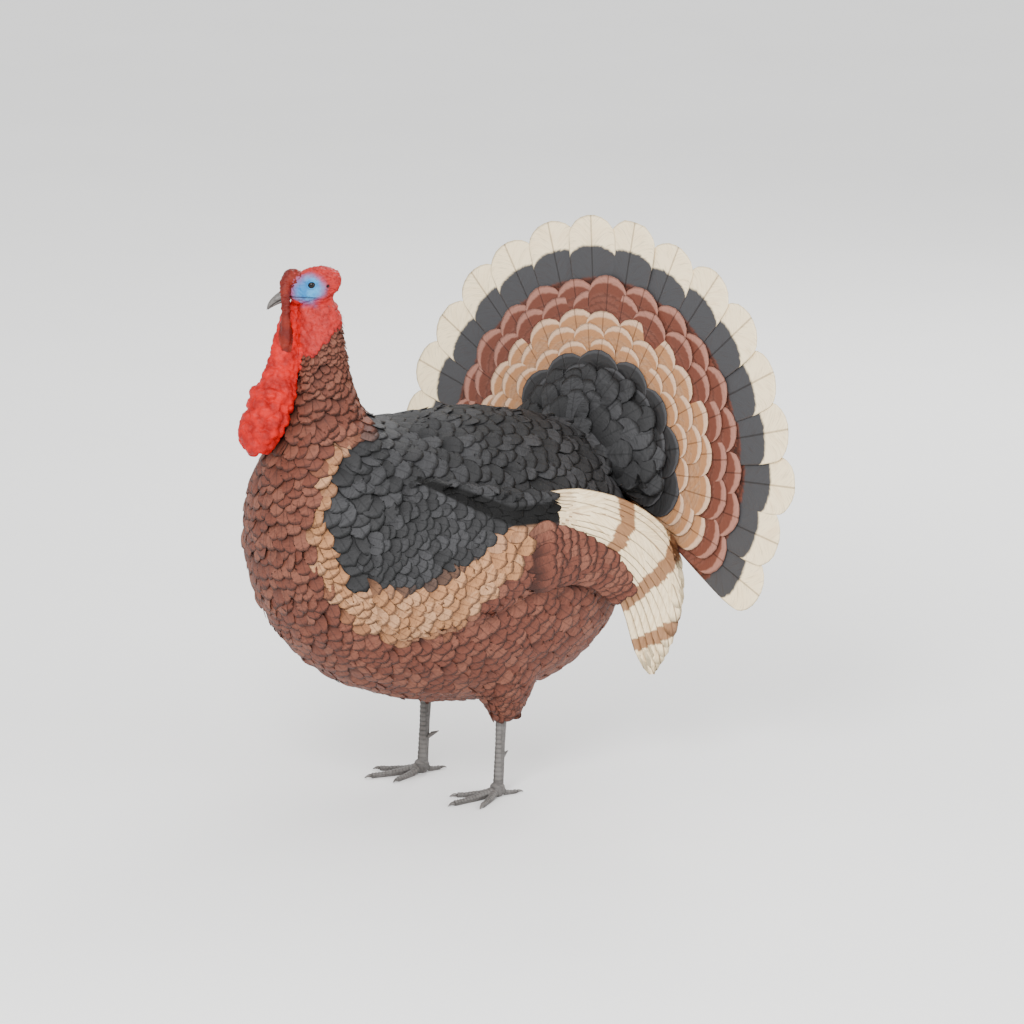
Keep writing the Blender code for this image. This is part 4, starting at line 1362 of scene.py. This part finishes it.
def coverts(side):
    """Feathers over the shoulder and along the inner edge of the folded wing."""
    wing = wings[side]

    def keep(p, facing):
        q = p - shift
        turn, far = arch_place(p)
        inner, outer = wing.heights(turn)
        edge = ((far - inner) / (outer - inner) < 0.12) & (turn > 1.05)
        low = border(q[:, 1], SLIT) - q[:, 2] > 0.035
        reach = q[:, 1] < np.where(low, 0.012, 0.034)
        return (reach | edge) & (facing[:, 0] * wing.sign > 0.10)

    places, facing = wing.outline.scattered(16000, lambda p: covert_size(p)[1] * 0.90, keep)
    turn, _ = arch_place(places)
    flow = np.stack([np.zeros(len(turn)), np.sin(turn), -np.cos(turn)], 1)
    rear = soft((places - shift)[:, 1], -0.12, 0.02)[:, None]
    way = np.array((0, 1.0, -0.42)) * (1 - rear) + (flow + (0, 0, -0.10)) * rear
    way = way + rng.normal(0, 0.05, way.shape)
    length, width = covert_size(places)
    size = rng.uniform(0.9, 1.1, len(places))
    cleft_and_shadow = cleft_and_shadow_share(places)
    q = places - shift
    above = soft(q[:, 2] - border(q[:, 1], SLIT), 0.0, 0.015)
    lift = 0.0018 + rng.uniform(0, 0.002, len(places)) + 0.003 * above - 0.007 * cleft_and_shadow
    lift = lift + 0.004 * soft(-turn, -1.6, -1.3)
    length, root = length * size, np.full(len(places), 0.0045)
    line, side_way, top = laid(wing.outline, BODY_VANE, places, facing, way, length, root, lift)
    side_way, top = tilted(side_way, top, rng.normal(0, 0.06, len(places)))
    plumage = Plumage(f"wing_coverts_{side}")
    patch, width = patches_at(wing_map(places)), width * size
    # The cleft's share goes to the paint, which turns it into near-black painted shadow.
    fields = {"cleft_and_shadow": cleft_and_shadow_share}
    plumage.add(BODY_VANE, line, side_way, top, width, VANE_ARCH, patch, marks(places), FRAY, fields)
    plumage.made(body_paint, "feather_slate")


def flank(side):
    """Brown feathers that lap over the lower edge of the folded wing, along its arch."""
    wing = wings[side]
    turn = rng.uniform(0.80, 1.65, 7000)
    lowest = 0.03 + 0.06 * soft(turn, 0.8, 1.2)
    share = lowest + (flank_share(turn) - 0.02 - lowest) * rng.uniform(0, 1, len(turn))
    places, _ = wing.spot(turn, share)
    tip = soft(turn, 1.15, 0.65)
    kept = spaced(places, 0.0135 - 0.0050 * tip, np.flatnonzero((places - shift)[:, 1] > 0.004))
    turn, share, tip, places = turn[kept], share[kept], tip[kept], places[kept]
    _, far = arch_place(places)
    length = (0.050 - 0.018 * tip) * rng.uniform(0.9, 1.1, len(kept))
    grid = (len(kept), len(BODY_VANE.v), 3)
    line, top = np.empty(grid), np.empty(grid)
    climb = 0.10 * soft(turn, 0.9, 1.5)
    for j, v in enumerate(BODY_VANE.v):
        spot, out = wing.spot(turn - (v - 0.5) * length / far, share + climb * (v - 0.5))
        out = unit(out + (0.8 * wing.sign, 0, 0))
        rise = -0.001 + 0.003 * tip + 0.0105 * v
        line[:, j], top[:, j] = spot + out * rise[:, None], out
    for _ in range(3):
        line[:, 1:-1] = (line[:, :-2] + 2 * line[:, 1:-1] + line[:, 2:]) / 4
        top[:, 1:-1] = unit(top[:, :-2] + 2 * top[:, 1:-1] + top[:, 2:])
    ahead = unit(np.gradient(line, axis=1))
    side_way = unit(np.cross(ahead, top))
    side_way, top = tilted(side_way, unit(np.cross(side_way, ahead)), rng.normal(0, 0.07, len(kept)))
    width = (0.0165 - 0.0065 * tip) * rng.uniform(0.92, 1.08, len(kept))
    plumage = Plumage(f"flank_{side}")
    patch = patches_at(wing_map(places))
    plumage.add(BODY_VANE, line, side_way, top, width, 0.18, patch, marks(places), FRAY)
    plumage.made(body_paint, "feather_brown")


for side in ("left", "right"):
    coverts(side)
    flank(side)

# %% [markdown]
# ## Tail
# The tail is eighteen stiff feathers spread in a fan from one root, with rows of shorter
# coverts in front of them and soft ones behind. The middle feathers lie over the outer ones.
# Every row is the same ring of vanes with its own radius, number and paint.

# %% Rows of the fan
TAIL_RADIUS = 0.395
TAIL_DISH = 0.022
TAIL_FRAY = 0.0012
TAIL_TILT = 0.030
LENGTH_SPREAD = 0.010
FAN_VANE = Pattern(
    (-1, -0.97, -0.88, -0.7, -0.45, -0.15, 0.15, 0.45, 0.7, 0.88, 0.97, 1),
    (0, 0.1, 0.2, 0.3, 0.4, 0.5, 0.6, 0.68, 0.75, 0.81, 0.86, 0.90, 0.935, 0.965, 0.985, 1),
    (0.16, 0.26, 0.36, 0.46, 0.56, 0.66, 0.76, 0.84, 0.90, 0.95, 0.98, 1.0, 1.0, 1.0, 0.995, 0.99),
    0.095,
)
COVERT_VANE = Pattern(
    (-1, -0.95, -0.8, -0.5, -0.15, 0.15, 0.5, 0.8, 0.95, 1),
    (0, 0.15, 0.3, 0.45, 0.6, 0.72, 0.81, 0.88, 0.94, 0.975, 1),
    (0.18, 0.34, 0.50, 0.65, 0.80, 0.90, 0.96, 0.99, 1.0, 1.0, 0.99),
    0.115,
)
RUMP_VANE = Pattern(COVERT_VANE.u, COVERT_VANE.v, COVERT_VANE.w, 0.22)


def fan_place(turn, far, ahead):
    """A place in the tail: turn from upright, distance from the root, and how far in front."""
    dish = TAIL_DISH * far / TAIL_RADIUS
    local = np.stack([np.sin(turn) * far, -dish - ahead, np.cos(turn) * far], -1)
    return local @ np.array(TAIL_TURN).T + TAIL_ROOT


def grid_patches(count, columns, box):
    """Places on the map for a few large feathers, in rows."""
    x0, y0, x1, y1 = box
    w, h = (x1 - x0) / columns, (y1 - y0) / math.ceil(count / columns)
    i = np.arange(count)
    patches = np.zeros((count, 4)) + (x0, y0, w * 0.94, h * 0.94)
    patches[:, 0] += (i % columns) * w
    patches[:, 1] += (i // columns) * h
    return patches


def fan_row(plumage, pattern, count, opening, radius, half, ahead, patches,
            root=0.020, behind=False, swell=0.0):
    """One ring of the tail: a number of vanes out to a radius, opening degrees to each side, of
    half width half, ahead in front of the fan. swell brings the inner part further forward."""
    turn = np.radians(np.linspace(-opening, opening, count))
    turn = turn + rng.normal(0, math.radians(opening) / count * 0.06, count)
    tip = radius * (1 + rng.normal(0, LENGTH_SPREAD, count))
    v = pattern.v[None, :]
    far = root + (tip[:, None] - root) * v
    order = 0.0016 * (1 - np.abs(turn) / math.radians(opening))[:, None]
    rise = swell * np.cos(np.clip(far / radius, 0, 1) * math.pi / 2)
    sway = rng.normal(0, 0.0012, (count, 1)) * v**2
    front = ahead + (order + sway + rise) * (-1 if behind else 1)
    line = fan_place(turn[:, None], far, front)
    ahead_way = unit(np.gradient(line, axis=1))
    face = np.array(TAIL_TURN @ Vector((0, 1 if behind else -1, 0)))
    side = unit(np.cross(ahead_way, face))
    top = unit(np.cross(side, ahead_way))
    outward = np.sign(turn) * np.where(behind, -1.0, 1.0)
    across = np.stack([np.cos(turn), np.zeros(count), -np.sin(turn)], 1) @ np.array(TAIL_TURN).T
    same = np.sign((side[:, 0] * across).sum(1))
    side, top = tilted(side, top, TAIL_TILT * outward * same)
    numbers = {"tint": rng.uniform(size=count)}
    width = half * rng.uniform(0.97, 1.03, count)
    plumage.add(pattern, line, side, top, width, 0.05, patches, numbers, TAIL_FRAY)


# %% [markdown]
# ## Tail paints
# Tail feathers carry fine bars, a dark band and a pale tip. The band's ends follow the feather's
# round end, so the paint goes by the place along the vane and not by height.

# %% Tail paints
def barred(name, base, base_dark, band, tip, band_from, tip_from, speckle):
    """Tail feathers: fine bars, then a dark band and a pale tip that follow the round end."""
    paint, v, off, _, streaks, barbs = bird_paint(name, 85.0)
    reach = v + (streaks - 0.5) * 0.022 + (barbs - 0.5) * 0.006
    tone = paint.mix(paint.ramp(streaks, 0.3, 0.75), base, base_dark)
    ripple = v * 150.0 + (streaks - 0.5) * 9.0 + off * 3.0
    ripple = paint.node("ShaderNodeMath", {"operation": "SINE"}, ripple)
    tone = paint.mix(paint.ramp(ripple, 0.1, 0.8) * speckle, tone, hue("1F1410"))
    tone = paint.mix(paint.ramp(reach, band_from - 0.008, band_from + 0.008), tone, band)
    pale = paint.mix(paint.ramp(streaks, 0.45, 0.85) * 0.6, tip, CREAM_DARK) if tip is CREAM else tip
    tone = paint.mix(paint.ramp(reach, tip_from - 0.008, tip_from + 0.008), tone, pale)
    tone = paint.mix(paint.ramp(barbs, 0.50, 0.75) * 0.28, tone, hue("3A2A20"))
    shaft = 1.0 - paint.ramp(off, 0.012, 0.045)
    tone = paint.mix(shaft * 0.6, tone, hue("8A7A6C"), "MULTIPLY")
    rim = paint.ramp(off, 0.93, 1.0)
    tone = paint.mix(rim * 0.30, tone, hue("4A382C"))
    return paint.done(tone, 0.48 + 0.25 * streaks, [(barbs, 0.5, 0.0010), (shaft, 0.6, 0.0012)])


fan_paint = barred("tail fan", BROWN, BROWN_DARK, SLATE_LIGHT, CREAM, 0.735, 0.872, 0.55)
long_paint = barred("long tail coverts", BROWN, hue("6F4438"), BROWN, hue("96685A"), 0.90, 0.955, 0.30)
short_paint = barred("short tail coverts", TAN, hue("A37F62"), TAN, hue("C8A588"), 0.90, 0.955, 0.15)
rump_paint = barred("rump feathers", SLATE, SLATE_DARK, SLATE, SLATE_LIGHT, 0.90, 0.960, 0.10)

# %% [markdown]
# ## Tail rows
# From back to front these are the fan, two rings of long coverts, three rings of short ones, and
# five rings of rump feathers that rise towards the back. Three more rings lie behind the fan.

# %% Tail rows
def third(i):
    """The i-th of three strips of the map."""
    return (0.01, 0.01 + 0.33 * i, 0.99, 0.32 + 0.33 * i)


fan = Plumage("tail_feathers")
patches = grid_patches(18, 9, (0.01, 0.01, 0.99, 0.99))
fan_row(fan, FAN_VANE, 18, 113.5, TAIL_RADIUS, 0.0475, -0.0005, patches)
fan.made(fan_paint, "feather_cream", "tail_fan")

long_coverts = Plumage("tail_coverts_long_row")
patches = grid_patches(17, 9, (0.01, 0.51, 0.99, 0.99))
fan_row(long_coverts, COVERT_VANE, 17, 112, 0.302, 0.0390, 0.0045, patches)
patches = grid_patches(16, 9, (0.01, 0.01, 0.99, 0.49))
fan_row(long_coverts, COVERT_VANE, 16, 109, 0.276, 0.0370, 0.0062, patches)
long_coverts.made(long_paint, "feather_brown", "tail_coverts_long")

short_coverts = Plumage("tail_coverts_short_row")
for i, radius in enumerate((0.249, 0.226, 0.200)):
    half, ahead = 0.0350 - 0.003 * i, 0.0085 + 0.0022 * i
    patches = grid_patches(15 - i, 8, third(i))
    fan_row(short_coverts, COVERT_VANE, 15 - i, 109 - 2 * i, radius, half, ahead, patches)
short_coverts.made(short_paint, "feather_tan", "tail_coverts_short")

rump = Plumage("rump_row")
for i, radius in enumerate((0.182, 0.160, 0.136, 0.112, 0.088)):
    box = (0.01, 0.01 + 0.195 * i, 0.99, 0.195 + 0.195 * i)
    half, ahead, swell = 0.0430 - 0.003 * i, 0.0165 + 0.0030 * i, 0.010 + 0.013 * i
    patches = grid_patches(9 - i, 5, box)
    fan_row(rump, RUMP_VANE, 9 - i, 98 - 3 * i, radius, half, ahead, patches, swell=swell)
rump.made(rump_paint, "feather_slate", "rump")

back_rows = Plumage("undertail_rows")
for i, radius in enumerate((0.225, 0.195, 0.168)):
    half, ahead = 0.0370 - 0.002 * i, -0.0045 - 0.0030 * i
    patches = grid_patches(15 - i, 8, third(i))
    fan_row(
        back_rows, COVERT_VANE, 15 - i, 114 + 5 * i, radius, half, ahead, patches,
        root=0.080, behind=True,
    )
back_rows.made(long_paint, "feather_brown", "undertail")

# %% [markdown]
# ## Legs, bill, claws and eyes
# The legs carry horny plates: broad ones down the front of the shank and along each toe, small
# ones behind. The bill, claws and spurs are smooth horn. The eyeballs sit behind the lids.

# %% Legs
LEG_MESH = 0.0011
PLATE_HEIGHT = 0.0013
SHANK_PLATE, TOE_PLATE, PAD = 0.0076, 0.0058, 0.013


def plate(step):
    """The round height of a plate from one groove to the next."""
    return np.sqrt(np.clip(1 - (2 * (step % 1) - 1) ** 2, 0, 1))


def leg(side):
    """Shank and toes: two rows of plates that meet in a groove down the front of the shank, one
    row along each toe, and round pads below."""
    names = [f"shank_{side}", f"foot_{side}"]
    thing = wrapped(f"leg_{side}", names, LEG_MESH, 0.0002)
    p, out = points(thing), normals(thing)
    low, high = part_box(f"shank_{side}")
    middle = (low + high) / 2
    shank = soft(p[:, 2], 0.018, 0.028)
    turn = np.arctan2(p[:, 0] - middle.x, -(p[:, 1] - middle.y))
    front, upper = soft(np.cos(turn), -0.1, 0.6), soft(out[:, 2], 0.1, 0.6)
    parting = 1 - ridge(turn, 0, 0.13)
    plates = plate(p[:, 2] / SHANK_PLATE + 0.5 * (turn > 0)) * parting * front
    hub = np.array((middle.x, middle.y, 0.012))
    far = np.linalg.norm((p - hub) * (1, 1, 0.3), axis=1)
    toes = plate(far / TOE_PLATE) * upper
    lift = PLATE_HEIGHT * (plates * shank + toes * (1 - shank))
    pads = np.sin(far * 2 * math.pi / PAD) * soft(out[:, 2], -0.2, -0.7) * (1 - shank)
    floor_safe = soft(p[:, 2], 0.0015, 0.0040)
    set_points(thing, p + out * ((lift + 0.0004 * pads - 0.0005) * floor_safe)[:, None])
    thing.data.shade_smooth()
    attach(thing, "plate", np.clip(lift / PLATE_HEIGHT, 0, 1))
    attach(thing, "plated", np.clip(front * shank + upper * (1 - shank), 0, 1))
    wear(thing, leg_paint, "leg_grey", *names)


paint = Paint("leg skin", Specular_IOR_Level=0.35)
cells = paint.cells(330.0)
patches = paint.noise(60.0, detail=4.0)
tone = paint.mix(paint.ramp(patches, 0.35, 0.7), hue("5F5C5A"), hue("4C4947"))
grooves = (1.0 - paint.ramp(paint.attribute("plate"), 0.10, 0.55)) * paint.attribute("plated")
tone = paint.mix(grooves * 0.7, tone, hue("2A2625"))
tone = paint.mix(paint.ramp(paint.attribute("plate"), 0.6, 1.0) * 0.4, tone, hue("77736F"))
seams = paint.ramp(cells, 0.45, 0.80) * (1.0 - paint.attribute("plated"))
tone = paint.mix(seams * 0.5, tone, hue("34302E"))
grit = paint.noise(700.0)
leg_paint = paint.done(tone, 0.42 + 0.25 * patches, [(cells, 0.35, 0.0007), (grit, 0.2, 0.0003)])
for side in ("left", "right"):
    leg(side)

# %% [markdown]
# ## Bill, claws and spurs
# Horn is hard, smooth and a little glossy, with fine lines of growth. The solids already have its
# shape, so rounding them by subdivision is enough. The upper bill also gets its nostrils.

# %% Bill, claws and spurs
def rounded(node, levels=2):
    thing = as_object(copied(node), f"{node}_horn")
    with_modifier(thing, "SUBSURF", levels=levels, render_levels=levels)
    thing.data.shade_smooth()
    return thing


paint = Paint("horn", Coat_Weight=0.15, Coat_Roughness=0.25)
grain = paint.noise(260.0, paint.vector("MULTIPLY", paint.where(), (1.0, 0.35, 1.0)), detail=4.0)
patches = paint.noise(70.0)
tone = paint.mix(paint.ramp(grain, 0.35, 0.7), hue("605C59"), hue("46423F"))
tone = paint.mix(paint.ramp(patches, 0.55, 0.8) * 0.4, tone, hue("7E7873"))
horn_paint = paint.done(tone, 0.30 + 0.2 * grain, [(grain, 0.25, 0.0004)])
for name in ("bill_upper", "bill_lower"):
    bill = rounded(name, 3)
    p, out = points(bill), normals(bill)
    h = in_head(p)
    if name == "bill_upper":
        nostril = np.hypot((h[:, 1] + 0.0425) / 1.7, h[:, 2] - 0.0010)
        dent = -0.0012 * ridge(nostril, 0, 0.0013) + 0.0004 * ridge(nostril, 0.0024, 0.0009)
        set_points(bill, p + out * dent[:, None])
    wear(bill, horn_paint, "horn_grey", name)
for name in nodes:
    if name.startswith(("claw_", "spur_")):
        wear(rounded(name), horn_paint, "horn_grey", name)

# %% [markdown]
# ## Eyes
# A turkey's eye is a glossy ball with a dark brown ring round the pupil, and only the part
# between the lids is seen. It is a plain sphere, painted by the angle from its own axis, so that
# the pupil sits in the middle of the opening.

# %% Eyes
paint = Paint("eye", Coat_Weight=0.10, Coat_Roughness=0.03, Specular_IOR_Level=0.20)
aside = paint.attribute("aside")
rays = paint.noise(500.0, detail=3.0)
iris = paint.mix(paint.ramp(rays, 0.3, 0.7), hue("180B06"), hue("0D0603"))
tone = paint.mix(paint.ramp(aside, 0.46, 0.52), hue("030303"), iris)
tone = paint.mix(paint.ramp(aside, 0.78, 0.90), tone, hue("150D0A"))
eye_paint = paint.done(tone, 0.08 + 0.05 * rays)
for side, place in eye_places.items():
    bm = bmesh.new()
    bmesh.ops.create_uvsphere(bm, u_segments=48, v_segments=32, radius=EYE_SIZE * 0.985)
    bmesh.ops.translate(bm, verts=bm.verts, vec=place)
    ball = as_object(bm, f"eyeball_{side}")
    ball.data.shade_smooth()
    _, aside_turn, _ = around_eye(points(ball), side)
    attach(ball, "aside", aside_turn)
    wear(ball, eye_paint, "eye_black", f"eye_{side}")

# %% [markdown]
# ## Floor and light
# A pale floor, a soft sky and three large lamps, as in a studio. A sun would be simpler, but its
# hard shadows swallow dark feathers, and wide lamps round the bird show their relief.

# %% Studio
FLOOR_RADIUS = 14.0
SKY_STRENGTH = 1.38
LAMPS_AIM = Vector((0, 0, 0.45))
# Each lamp's name, place, width in metres and power in watts.
LAMPS = (
    ("key", (2.9, -2.6, 3.0), 1.8, 220.0),
    ("fill", (3.6, 1.6, 1.6), 2.6, 60.0),
    ("rim", (-2.0, 2.8, 2.8), 1.8, 90.0),
)


def studio():
    bm = bmesh.new()
    bmesh.ops.create_circle(bm, cap_ends=True, segments=96, radius=FLOOR_RADIUS)
    floor = as_object(bm, "floor")
    paint = Paint("pale floor", Roughness=0.9)
    grain = paint.noise(2.2, detail=5.0)
    grit = paint.noise(160.0)
    tone = paint.mix(grain, hue("F4F4F3"), hue("FBFBFA"))
    floor.data.materials.append(paint.done(tone, 0.82 + 0.1 * grit, [(grit, 0.04, 0.0005)]))
    world = bpy.data.worlds.new("sky")
    world.use_nodes = True
    sky = world.node_tree.nodes["Background"]
    sky.inputs["Color"].default_value = (1.0, 1.0, 1.0, 1)
    sky.inputs["Strength"].default_value = SKY_STRENGTH
    bpy.context.scene.world = world
    for name, place, size, power in LAMPS:
        data = bpy.data.lights.new(name, "AREA")
        data.shape = "DISK"
        data.size = size
        data.energy = power
        lamp = bpy.data.objects.new(name, data)
        lamp.location = place
        lamp.rotation_euler = (LAMPS_AIM - Vector(place)).to_track_quat("-Z", "Y").to_euler()
        bpy.context.scene.collection.objects.link(lamp)


studio()
print("lamps", len(LAMPS))

# %% [markdown]
# ## Camera
# The camera stands at the bird's left and a little in front of it. A short lens near by would
# swell the head and shrink the tail; a long one far off keeps the bird's proportions.

# %% Camera
CAMERA_AZIMUTH, CAMERA_HEIGHT = math.radians(60), math.radians(14)
CAMERA_AWAY = 9.0
CAMERA_AIM = Vector((0.0395, 0.0685, 0.452))
SENSOR = 36.0
VIEW_WIDTH = 1.625


def camera():
    a, e = CAMERA_AZIMUTH, CAMERA_HEIGHT
    back = Vector((math.sin(a) * math.cos(e), -math.cos(a) * math.cos(e), math.sin(e)))
    data = bpy.data.cameras.new("camera")
    data.sensor_width = SENSOR
    data.lens = SENSOR * CAMERA_AWAY / VIEW_WIDTH
    data.clip_end = 60.0
    made = bpy.data.objects.new("camera", data)
    made.location = CAMERA_AIM + back * CAMERA_AWAY
    made.rotation_euler = (-back).to_track_quat("-Z", "Y").to_euler()
    bpy.context.scene.collection.objects.link(made)
    bpy.context.scene.camera = made


camera()
print("lens", round(bpy.context.scene.camera.data.lens, 1))
